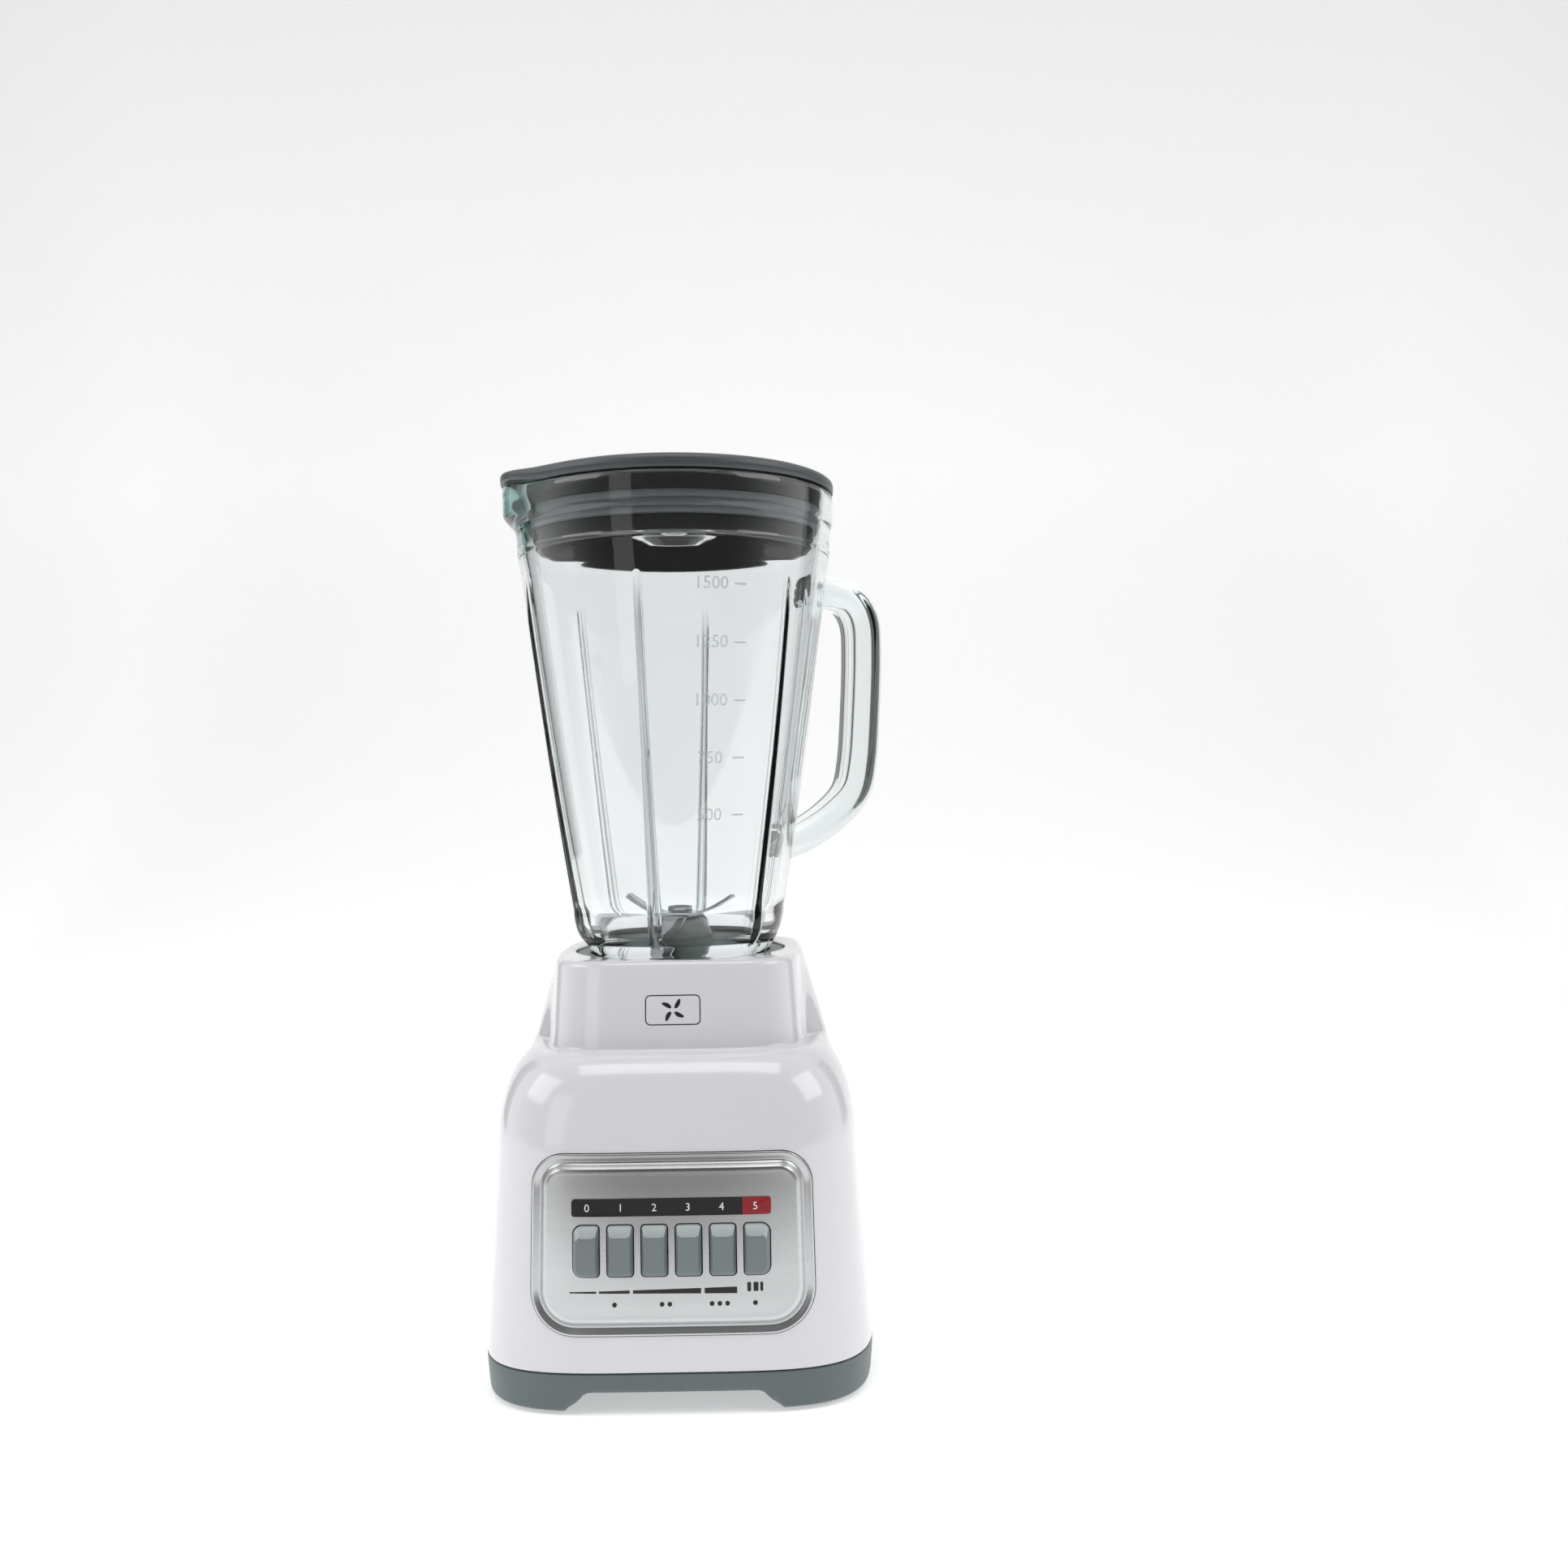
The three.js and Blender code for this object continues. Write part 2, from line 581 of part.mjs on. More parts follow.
function jarRadius(z) {
  if (z < JAR_BASE_Z) return JAR_NECK_RADIUS;
  if (z < JAR_BELLY_Z) {
    const left = 1 - (z - JAR_BASE_Z) / (JAR_BELLY_Z - JAR_BASE_Z);
    return JAR_BELLY_RADIUS - (JAR_BELLY_RADIUS - 40) * left * left;
  }
  if (z <= JAR_SHOULDER_Z) {
    const share = (z - JAR_BELLY_Z) / (JAR_SHOULDER_Z - JAR_BELLY_Z);
    return mix(JAR_BELLY_RADIUS, JAR_SHOULDER_RADIUS, share) + JAR_BULGE * share * (1 - share);
  }
  if (z < JAR_LIP_Z) {
    const bead = BEAD_DEPTH * Math.exp(-(((z - JAR_BEAD_Z) / BEAD_WIDTH) ** 2));
    const share = (z - JAR_SHOULDER_Z) / (JAR_LIP_Z - JAR_SHOULDER_Z);
    return mix(JAR_SHOULDER_RADIUS + 0.8, JAR_LIP_RADIUS, share) + bead;
  }
  return mix(JAR_LIP_RADIUS, JAR_RIM_RADIUS, smooth(JAR_LIP_Z, JAR_LIP_Z + 5, z));
}

const spoutShare = (angle, z) =>
  Math.exp(-((turnBetween(angle, spoutAngle) / (15 * DEGREE)) ** 2)) * smooth(363, 374, z);

function jarOutside(z) {
  return (angle) => {
    const ribTurn = turnBetween(((angle - RIB_ANGLE) * JAR_RIBS) % (2 * Math.PI), 0) / JAR_RIBS;
    const ribbed = smooth(186, 200, z) * (1 - smooth(338, 346, z));
    const rib = RIB_DEPTH * ribbed * Math.exp(-((ribTurn / (3.2 * DEGREE)) ** 2));
    return jarRadius(z) + rib + SPOUT_REACH * spoutShare(angle, z);
  };
}

const jarInside = (z, wall) => (angle) => jarRadius(z) - wall + SPOUT_REACH * spoutShare(angle, z);
const rimHeight = (angle) => JAR_RIM_Z + SPOUT_RISE * spoutShare(angle, JAR_RIM_Z);

function jarHandle() {
  const places = [
    [65.4, 341], [76, 340.5], [85, 337], [90.5, 327], [91.2, 310], [90, 285], [88, 262],
    [84, 247], [73, 236], [60, 228], [48.3, 223.5],
  ];
  const points = places.map(([radius, z]) => new THREE.Vector3(radius, 0, z));
  const path = new THREE.CatmullRomCurve3(points);
  const section = new THREE.Shape(roundedRectangle(HANDLE_WIDTH / 2, HANDLE_THICK / 2, 4.5, 1));
  const options = { steps: 15, extrudePath: path, bevelEnabled: false };
  return new THREE.ExtrudeGeometry(section, options).rotateZ(JAR_TURN);
}

function glassJar() {
  const phase = RIB_ANGLE;
  const levels = [
    JAR_FOOT_Z, JAR_BASE_Z, 182, 188, JAR_BELLY_Z, 230, 270, 310, JAR_SHOULDER_Z, 353,
    JAR_BEAD_Z, 358, 364, 371,
  ];
  const rings = levels.map((z) => ring(JAR_SIDES, z, jarOutside(z), phase));
  rings.push(ring(JAR_SIDES, rimHeight, jarOutside(JAR_RIM_Z), phase));
  rings.push(ring(JAR_SIDES, rimHeight, jarInside(JAR_RIM_Z, 4), phase));
  for (const z of [371, 358, 300, 240, 200]) {
    rings.push(ring(JAR_SIDES, z, jarInside(z, JAR_WALL), phase));
  }
  rings.push(ring(JAR_SIDES, 184, JAR_NECK_BORE, phase));
  rings.push(ring(JAR_SIDES, JAR_FOOT_Z, JAR_NECK_BORE, phase));
  return combine(loft(rings, true), [jarHandle()], []);
}

function jarCollar() {
  const cup = (angle) => CUP_RADIUS + (degreesFromLug(angle) < 2 ? LUG_DEPTH - 0.4 : 0);
  const bore = JAR_NECK_RADIUS + 1;
  const levels = [
    [150, cup], [SOCKET_STEP_Z + GAP, cup], [SOCKET_STEP_Z + GAP, COLLAR_RADIUS], [176.6, COLLAR_RADIUS],
    [COLLAR_TOP_Z, 46], [COLLAR_TOP_Z, bore], [161, bore], [161, 34], [156, 34], [156, 40], [150, 40],
  ];
  return loft(levels.map(([z, radius]) => ring(40, z, radius)), true);
}

const bladeBaseProfile = [
  [38, 161.4], [39.2, 161.4], [39.2, 166.9], [33, 166.9], [33, 173.4], [16, 176], [13, 184],
  [9.5, 188], [6.8, 188], [6.8, 161.4],
];
const bladeShaftProfile = [
  [0, 154.5], [4.3, 154.5], [4.3, 188.4], [3.2, 188.4], [3.2, 196], [0, 196],
];

// A strip with two wings that bend up or down from a flat middle, pierced for the shaft.
function blade(rise, reach) {
  const stations = [-1, -0.55, -BLADE_BEND, BLADE_BEND, 0.55, 1];
  const sections = stations.map((share) => {
    const wing = Math.max(0, (Math.abs(share) - BLADE_BEND) / (1 - BLADE_BEND));
    const x = share * reach;
    const z = rise * wing;
    const half = mix(6.8, 3, wing);
    return [
      new THREE.Vector3(x, -half, z - BLADE_THICK / 2),
      new THREE.Vector3(x, half, z - BLADE_THICK / 2),
      new THREE.Vector3(x, half, z + BLADE_THICK / 2),
      new THREE.Vector3(x, -half, z + BLADE_THICK / 2),
    ];
  });
  return combine(loft(sections, false), [], [rod(SHAFT_RADIUS - 0.5, -9, 9, 16)]);
}

add('glass_jar', glassJar(), JAR_GLASS);
add('jar_collar', jarCollar(), COLLAR_GREY);
add('blade_base', turned(bladeBaseProfile, 24), DARK_PLASTIC);
add('jar_gasket', tube(38.8, 34.6, 167.2, 169.2, 24), SEAL_GREY);
add('blade_bushing', tube(6.5, 4.6, 161.4, 187.6, 16), COPPER);
add('blade_shaft', turned(bladeShaftProfile, 16, false), STEEL);
add('blade_lower', blade(-9, 24).rotateZ(68 * DEGREE), STEEL).position.z = 189.6;
add('blade_upper', blade(10.5, 25).rotateZ(-16 * DEGREE), STEEL).position.z = 191.7;
add('blade_nut', tube(5.6, 3.9, 192.8, 197, 6), STEEL);
add('driven_coupling', dogClutch(156.8, 160.8, 151.8, 60 * DEGREE, 4.6), DARK_PLASTIC);

// ---------------------------------------------------------------- lid

function lid() {
  const sides = 32;
  const cover = (radius, reach) => (angle) =>
    radius + reach * Math.exp(-((turnBetween(angle, spoutAngle) / (17 * DEGREE)) ** 2));
  const lift = (z, rise) => (angle) => z + rise * spoutShare(angle, JAR_RIM_Z);
  const plugInner = LID_PLUG_RADIUS - 3;
  const levels = [
    [LID_PLUG_Z, LID_PLUG_RADIUS - 0.6], [362, LID_PLUG_RADIUS], [363.8, LID_PLUG_RADIUS], [363.8, 61.8],
    [374.2, 61.8], [374.2, 65.6], [LID_EDGE_Z, 66.2],
    [lift(LID_EDGE_Z, 3.4), cover(67.6, 4)], [lift(LID_EDGE_Z, 3.4), cover(72.2, 5.6)],
    [lift(385.8, 2.6), cover(72.4, 5.6)], [lift(387.6, 1.8), cover(70.6, 5.2)], [LID_TOP_Z, cover(66, 3)],
    [LID_TOP_Z, 32], [387.4, 29.5], [387.4, 21.9], [372, 21.6], [372, 24.5], [378, 25], [378, plugInner],
    [LID_PLUG_Z, plugInner],
  ];
  return loft(levels.map(([z, radius]) => ring(sides, z, radius, spoutAngle)), true);
}

add('lid', lid(), LID_GREY);

const sealProfile = [
  [62.1, 364.2], [65.6, 364.4], [65.9, 369], [65.4, 373.8], [62.1, 373.8],
];
const capProfile = [
  [17.2, CAP_FOOT_Z], [19, CAP_FOOT_Z], [21.1, 387], [21.3, 387.8], [28.2, 387.8],
  [28.2, CAP_TOP_Z - 1.5], [26.6, CAP_TOP_Z], [0, CAP_TOP_Z], [0, CAP_TOP_Z - 3], [18.9, 389.8],
];
add('lid_seal', turned(sealProfile, 32), SEAL_GREY);
add('filler_cap', turned(capProfile, 24), CAP_CLEAR);

export default blender;
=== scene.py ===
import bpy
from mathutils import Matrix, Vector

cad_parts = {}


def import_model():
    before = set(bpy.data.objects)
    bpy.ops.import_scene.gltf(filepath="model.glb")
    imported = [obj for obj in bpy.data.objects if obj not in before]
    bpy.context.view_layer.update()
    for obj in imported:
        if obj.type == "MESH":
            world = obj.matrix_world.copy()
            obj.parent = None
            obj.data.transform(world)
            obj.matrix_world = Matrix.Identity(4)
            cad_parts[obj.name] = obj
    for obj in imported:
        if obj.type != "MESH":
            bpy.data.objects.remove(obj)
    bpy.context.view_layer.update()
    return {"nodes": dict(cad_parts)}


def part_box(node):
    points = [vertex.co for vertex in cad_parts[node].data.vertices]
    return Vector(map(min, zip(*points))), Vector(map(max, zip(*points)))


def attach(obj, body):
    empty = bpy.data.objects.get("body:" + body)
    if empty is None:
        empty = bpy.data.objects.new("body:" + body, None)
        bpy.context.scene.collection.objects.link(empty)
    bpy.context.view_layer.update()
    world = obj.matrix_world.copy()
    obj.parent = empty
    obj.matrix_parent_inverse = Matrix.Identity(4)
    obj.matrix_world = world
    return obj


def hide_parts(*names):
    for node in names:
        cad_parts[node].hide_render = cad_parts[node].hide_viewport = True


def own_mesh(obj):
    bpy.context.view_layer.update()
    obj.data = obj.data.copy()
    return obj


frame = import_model()

import math

import bmesh
import bpy
from mathutils import Matrix, Vector

# Shapes are in millimetres from the drive axis and from the worktop, and world() turns them into metres.
# Materials, the room and the camera are in metres.
MM = 0.001
DEGREE = math.pi / 180
shaft_low, shaft_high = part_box("motor_shaft")
AXIS = Vector(((shaft_low[0] + shaft_high[0]) / 2, (shaft_low[1] + shaft_high[1]) / 2, 0))


def world(point):
    return AXIS + Vector(point) * MM


def mix(a, b, share):
    return a + (b - a) * share


def smooth(low, high, value):
    share = min(1, max(0, (value - low) / (high - low)))
    return share * share * (3 - 2 * share)


def steps(low, high, count):
    return [mix(low, high, i / count) for i in range(count + 1)]


# ---------------------------------------------------------------- outline of the motor base

SEAM_Z, BODY_TOP_Z, CREASE_Z, NECK_TOP_Z = 17, 100, 141, 178.2
FOOT_HALF, BODY_HALF, NECK_LOW_HALF, NECK_TOP_HALF = 82.8, 77.5, 55.5, 53
SHOULDER_RUN = 19.5
SIDE_INSET, SIDE_TOP_HALF, SIDE_LOW_HALF, SIDE_LOW_Z, SIDE_SOFTNESS = 1.5, 54.5, 75, 110, 4
DEPTH_RATIO, CORNER_POWER = 1.02, 4.5
HOUSING_WALL = 3.6


def wall_half(z):
    return mix(FOOT_HALF, BODY_HALF, (z - SEAM_Z) / (BODY_TOP_Z - SEAM_Z))


def neck_half(z):
    return mix(NECK_LOW_HALF, NECK_TOP_HALF, (z - CREASE_Z) / (NECK_TOP_Z - CREASE_Z))


def front_half(z):
    if z <= BODY_TOP_Z:
        return wall_half(z)
    if z >= CREASE_Z:
        return neck_half(z)
    rise = min(1, (z - BODY_TOP_Z) / (CREASE_Z + 0.3 - BODY_TOP_Z))
    return max(BODY_HALF - SHOULDER_RUN * (1 - math.sqrt(1 - rise * rise)), neck_half(z))


def side_half(z):
    """The lesser of the wall and the neck's slope, with a soft bend where they meet."""
    wall = wall_half(z) - SIDE_INSET
    slope = mix(SIDE_TOP_HALF, SIDE_LOW_HALF, (NECK_TOP_Z - z) / (NECK_TOP_Z - SIDE_LOW_Z))
    return -SIDE_SOFTNESS * math.log(math.exp(-wall / SIDE_SOFTNESS) + math.exp(-slope / SIDE_SOFTNESS))


def outline(z, inset=0, front=None):
    front = front_half(z) if front is None else front
    side = side_half(z)

    def radius(angle):
        half = mix(side, front, smooth(0.05, 0.45, -math.sin(angle))) - inset
        across = abs(math.cos(angle) / half) ** CORNER_POWER
        along = abs(math.sin(angle) / (half * DEPTH_RATIO)) ** CORNER_POWER
        return (across + along) ** (-1 / CORNER_POWER)
    return radius


# ---------------------------------------------------------------- mesh helpers

def link(name, mesh, sharp=32):
    obj = bpy.data.objects.new(name, mesh)
    bpy.context.collection.objects.link(obj)
    mesh.shade_smooth()
    mesh.set_sharp_from_angle(angle=sharp * DEGREE)
    return obj


WELD = 2e-6


def solid(name, points, faces, sharp=32):
    mesh = bpy.data.meshes.new(name)
    mesh.from_pydata([world(p) for p in points], [], faces)
    bm = bmesh.new()
    bm.from_mesh(mesh)
    bmesh.ops.remove_doubles(bm, verts=bm.verts, dist=WELD)
    bmesh.ops.delete(bm, geom=[e for e in bm.edges if not e.link_faces], context="EDGES")
    bmesh.ops.recalc_face_normals(bm, faces=bm.faces)
    bm.to_mesh(mesh)
    bm.free()
    return link(name, mesh, sharp)


def around(angle, z, radius):
    """A point round the drive axis; z and radius are numbers, or functions of the angle."""
    r = radius(angle) if callable(radius) else radius
    return (r * math.cos(angle), r * math.sin(angle), z(angle) if callable(z) else z)


def ring(count, z, radius, phase=0):
    return [around(phase + i / count * 2 * math.pi, z, radius) for i in range(count)]


def loft(name, rings, closed=False, sharp=32, caps=True):
    count = len(rings[0])
    points = [p for one in rings for p in one]
    faces = []
    for k in range(len(rings) if closed else len(rings) - 1):
        a = k * count
        b = ((k + 1) % len(rings)) * count
        for i in range(count):
            j = (i + 1) % count
            faces.append((a + i, a + j, b + j, b + i))
    if not closed and caps:
        faces.append(tuple(reversed(range(count))))
        faces.append(tuple(range(len(points) - count, len(points))))
    return solid(name, points, faces, sharp)


def turned(name, profile, count=96, closed=True, sharp=32):
    """A profile of (radius, z) revolved round the drive axis; radius 0 closes it on the axis."""
    return loft(name, [ring(count, z, max(r, 0.0005)) for r, z in profile], closed, sharp)


def moved(obj, x, y, z):
    obj.data.transform(Matrix.Translation(Vector((x, y, z)) * MM))
    return obj


def boolean(obj, tools, operation="DIFFERENCE", sharp=32):
    for tool in tools:
        change = obj.modifiers.new(operation.title(), "BOOLEAN")
        change.operation = operation
        change.solver = "EXACT"
        change.object = tool
    bpy.context.view_layer.update()
    graph = bpy.context.evaluated_depsgraph_get()
    mesh = bpy.data.meshes.new_from_object(obj.evaluated_get(graph))
    obj.modifiers.clear()
    obj.data = mesh
    mesh.shade_smooth()
    mesh.set_sharp_from_angle(angle=sharp * DEGREE)
    for tool in tools:
        bpy.data.objects.remove(tool)
    return obj


def joined(name, objects):
    """One object made of the separate prints."""
    bm = bmesh.new()
    for obj in objects:
        bm.from_mesh(obj.data)
        bpy.data.objects.remove(obj)
    mesh = bpy.data.meshes.new(name)
    bm.to_mesh(mesh)
    bm.free()
    return link(name, mesh, 40)


def rounded(half_x, low_y, high_y, radii, count=8, edge=10):
    """Corner radii: lower right, upper right, upper left, lower left. Every outline has as many points."""
    corners = [(half_x, low_y, -90, -1, 1), (half_x, high_y, 0, -1, -1),
               (-half_x, high_y, 90, 1, -1), (-half_x, low_y, 180, 1, 1)]
    arcs = []
    for (x, y, start, sx, sy), radius in zip(corners, radii):
        cx, cy = x + sx * radius, y + sy * radius
        arcs.append([(cx + radius * math.cos((start + 90 * i / count) * DEGREE),
                      cy + radius * math.sin((start + 90 * i / count) * DEGREE)) for i in range(count + 1)])
    points = []
    for k in range(4):
        points += arcs[k]
        a, b = arcs[k][-1], arcs[(k + 1) % 4][0]
        points += [(mix(a[0], b[0], i / edge), mix(a[1], b[1], i / edge)) for i in range(1, edge)]
    return points


# ---------------------------------------------------------------- frame of the leaning front face

PANEL_Z = 68


def face_depth(z):
    return front_half(z) * DEPTH_RATIO


LEAN = math.atan2(face_depth(PANEL_Z - 36) - face_depth(PANEL_Z + 36), 72)


def on_face(u, v, w, follow=True):
    """A point u to the right, v up the face and w proud of it; follow bends it round the face."""
    z = PANEL_Z + v * math.cos(LEAN)
    if follow:
        half = front_half(z)
        w -= half * DEPTH_RATIO * (1 - (1 - min(0.98, abs(u) / half) ** CORNER_POWER) ** (1 / CORNER_POWER))
    turn = math.pi / 2 - LEAN
    return (u, -face_depth(PANEL_Z) + v * math.cos(turn) - w * math.sin(turn),
            PANEL_Z + v * math.sin(turn) + w * math.cos(turn))


PANEL_TOP_HALF, PANEL_LOW_HALF, PANEL_HALF_HEIGHT = 56.5, 57.6, 36
PANEL_LOW_CORNER, PANEL_TOP_CORNER = 18, 13


def panel_outline(inset):
    """The panel's outline, a little wider at the bottom than at the top."""
    top, low, tall = PANEL_TOP_HALF - inset, PANEL_LOW_HALF - inset, PANEL_HALF_HEIGHT - inset
    low_corner = max(1.2, PANEL_LOW_CORNER - inset)
    top_corner = max(1, PANEL_TOP_CORNER - inset)
    points = rounded(top, -tall, tall, [low_corner, top_corner, top_corner, low_corner], 12, 24)
    return [(x * mix(low, top, (y + tall) / (2 * tall)) / top, y) for x, y in points]


PANEL_STEPS = (34, 29, 24, 18, 12, 6)


def face_slab(name, outlines, follow=True, sharp=32):
    """A solid through a list of (outline points, height)."""
    rings = [[on_face(u, v, w, follow) for u, v in points] for points, w in outlines]
    return loft(name, rings, sharp=sharp)


# ---------------------------------------------------------------- motor housing and base shell

SIDES = 200
KEY_PITCH, KEY_MIDDLE = 13.7, -2
KEYS = [(i - 2.5) * KEY_PITCH for i in range(6)]


SOCKET_R, LUG_DEPTH = 44.6, 3
SOCKET_FLOOR_Z, SOCKET_UNDER_Z, SHAFT_HOLE_R = 146, 142, 9


def degrees_from_lug(angle):
    return abs((angle / DEGREE + 360) % 90 - 45)


def socket_bore(angle):
    return SOCKET_R + LUG_DEPTH * (1 - smooth(7.6, 8.4, degrees_from_lug(angle)))


def make_housing():
    low = SEAM_Z + 0.3
    foot = ((low, 0.7), (low + 0.25, 0.25), (low + 0.9, 0))
    rings = [ring(SIDES, z, outline(z, inset)) for z, inset in foot]
    rings += [ring(SIDES, z, outline(z)) for z in steps(20, 100, 10) + steps(102, 136, 17)]
    rings += [ring(SIDES, z, outline(z)) for z in (137.5, 138.8, 139.8, 140.5, 140.9)]
    ledge = ((141.1, 57.6), (141.15, 57.0), (141.3, 56.4), (141.7, 55.9), (142.4, 55.55))
    rings += [ring(SIDES, z, outline(z, 0, front)) for z, front in ledge]
    rings += [ring(SIDES, z, outline(z)) for z in steps(144, 175, 7)]
    edge = ((175.9, 0.06), (176.7, 0.28), (177.4, 0.75), (177.9, 1.45), (178.13, 2.2), (178.2, 3))
    rings += [ring(SIDES, z, outline(z, inset)) for z, inset in edge]
    rings += [ring(SIDES, z, r) for z, r in ((178.2, 47.7), (178.05, 47.25), (177.6, 47.1), (173, 47.1))]
    rings += [ring(SIDES, z, socket_bore) for z in (173, SOCKET_FLOOR_Z)]
    rings += [ring(SIDES, z, SHAFT_HOLE_R) for z in (SOCKET_FLOOR_Z, SOCKET_UNDER_Z)]
    rings += [ring(SIDES, z, outline(z, HOUSING_WALL)) for z in (SOCKET_UNDER_Z, 124, 112, 100, 60, low)]
    housing = loft("white_housing", rings, closed=True)

    pocket_floor, pocket_mouth = -3, 14
    pocket_rows = [(panel_outline(inset), pocket_floor) for inset in PANEL_STEPS]
    pocket_rows += [(panel_outline(-0.3), w) for w in (pocket_floor, pocket_mouth)]
    pocket_rows += [(panel_outline(inset), pocket_mouth) for inset in reversed(PANEL_STEPS)]
    pocket = face_slab("pocket", pocket_rows)
    hole = face_slab("opening", [(rounded(47.5, -29, 29, [6] * 4), w) for w in (-14, 12)], follow=False)
    cord = spin_to_back(turned("cord_hole", [(0, -20), (6, -20), (6, 30), (0, 30)], 48))
    return boolean(housing, [pocket, hole, cord])


CORD_Z = 34


def spin_to_back(obj):
    """Turns a shape made along +Z at the axis so that it points out of the back wall at the cord's height."""
    wall = outline(CORD_Z)(math.pi / 2)
    turn = Matrix.Rotation(-math.pi / 2, 4, "X")
    shift = Matrix.Translation(AXIS + Vector((0, wall, CORD_Z)) * MM)
    obj.data.transform(shift @ turn @ Matrix.Translation(-AXIS))
    obj.data.update()
    return obj


PAD_X, PAD_Y, SCREW_X, SCREW_Y = 58, 62, 73, 52


def make_base():
    top = SEAM_Z - 0.3
    rows = ((1.5, 2.6), (1.75, 1.9), (2.4, 1.35), (3.4, 1.15), (8, 0.75),
            (12, 0.45), (15.9, 0.22), (16.5, 0.35), (top, 0.8))
    rings = [ring(SIDES, z, outline(SEAM_Z, inset)) for z, inset in rows]
    rings += [ring(SIDES, top, outline(SEAM_Z, HOUSING_WALL)), ring(SIDES, 13, outline(SEAM_Z, HOUSING_WALL))]
    shell = loft("base_tray", rings)
    arches = []
    for turn in (0, math.pi / 2):
        half = [(45.9, -2), (44.3, 1.5), (42.6, 3.4), (39.6, 5.4),
                (37.7, 7.1), (36.3, 8.7), (34.6, 9.5), (32.5, 9.7)]
        line = half + [(-x, z) for x, z in reversed(half)]
        spans = [[(x, y, z) for x, z in line] for y in (-110, 110)]
        c, s = math.cos(turn), math.sin(turn)
        arches.append(loft("arch", [[(x * c - y * s, x * s + y * c, z) for x, y, z in one] for one in spans]))
    pad_recess = [(0, -2), (9.5, -2), (9.5, 4.3), (0, 4.3)]
    screw_bore = [(0, -2), (4.4, -2), (4.4, 7.3), (2.4, 7.3), (2.4, 25), (0, 25)]
    cuts = []
    for sx in (-1, 1):
        for sy in (-1, 1):
            cuts.append(moved(turned("recess", pad_recess, 48), sx * PAD_X, sy * PAD_Y, 0))
            cuts.append(moved(turned("bore", screw_bore, 32), sx * SCREW_X, sy * SCREW_Y, 0))
    for x in (-24, -12, 0, 12, 24):
        slot = [[(x + u, v, z) for u, v in rounded(2, -26, 26, [1.9] * 4, 4, 3)] for z in (7, 17)]
        cuts.append(loft("vent", slot))
    return boolean(shell, arches + cuts)


KEY_HALF_WIDTH, KEY_HALF_HEIGHT, KEY_CORNER, KEY_END_CORNER = 5.1, 10, 1.5, 3.6


def key_outline(i, inset, top=None, low=None):
    """The outer corners of the first and the last key are rounder."""
    upper = KEY_HALF_HEIGHT - (inset if top is None else top)
    lower = -KEY_HALF_HEIGHT + (inset if low is None else low)
    right = KEY_END_CORNER if i == 5 else KEY_CORNER
    left = KEY_END_CORNER if i == 0 else KEY_CORNER
    radii = [max(0.5, r - inset * 0.8) for r in (right, right, left, left)]
    return on_key(i, rounded(KEY_HALF_WIDTH - inset, lower, upper, radii, 8, 6))


def on_key(i, points):
    return [(u + KEYS[i], v + KEY_MIDDLE) for u, v in points]


STEM_R = 2.4


def circle_points(radius, count, x=0, y=0):
    return [(x + radius * math.cos(2 * math.pi * t / count), y + radius * math.sin(2 * math.pi * t / count))
            for t in range(count)]


def make_key(i):
    """A cap whose top slopes back towards the label, on a flange and a round stem."""
    rows = [(key_outline(i, 0), -5), (key_outline(i, 0), 2.9), (key_outline(i, 0.1), 3.25),
            (key_outline(i, 0.3), 3.5), (key_outline(i, 0.95, 3.3, 0.9), 5.35),
            (key_outline(i, 1.2, 3.8, 1.15), 5.62), (key_outline(i, 1.6, 4.3, 1.6), 5.75),
            (key_outline(i, 2.2, 5.2, 2.4), 5.78)]
    key = face_slab(f"key_cap_{i + 1}", rows, follow=False, sharp=50)
    plate = on_key(i, rounded(6.2, -11.2, 11.2, [0.6] * 4, 3, 3))
    flange = face_slab("flange", [(plate, w) for w in (-5.05, -3.05)], follow=False)
    circle = on_key(i, circle_points(STEM_R, 24))
    stem = face_slab("stem", [(circle, w) for w in (-20, -4.5)], follow=False)
    return boolean(key, [flange, stem], "UNION", 50)


SPRING_LOW, SPRING_HIGH, SPRING_WIRE, SPRING_R = -14.2, -6, 0.5, 3.9
SPRING_TURNS, SPRING_STEPS, WIRE_SIDES = 5, 28, 10


def make_spring(i):
    """A coil round the key's stem, wound more closely at its ends than in its middle."""
    rings = []
    for k in range(SPRING_TURNS * SPRING_STEPS + 1):
        share = k / (SPRING_TURNS * SPRING_STEPS)
        angle = share * SPRING_TURNS * 2 * math.pi
        height = mix(SPRING_LOW, SPRING_HIGH, smooth(0.12, 0.88, share) * 0.76 + share * 0.24)
        wire = []
        for t in range(WIRE_SIDES):
            r = SPRING_R + SPRING_WIRE * math.cos(t * math.pi / 5)
            w = height + SPRING_WIRE * math.sin(t * math.pi / 5)
            wire.append(on_face(KEYS[i] + r * math.cos(angle), KEY_MIDDLE + r * math.sin(angle), w, False))
        rings.append(wire)
    return loft(f"return_spring_{i + 1}", rings, sharp=60)


PANEL_BACK, PANEL_FRONT, WINDOW_GAP = -2.7, 2.2, 0.5


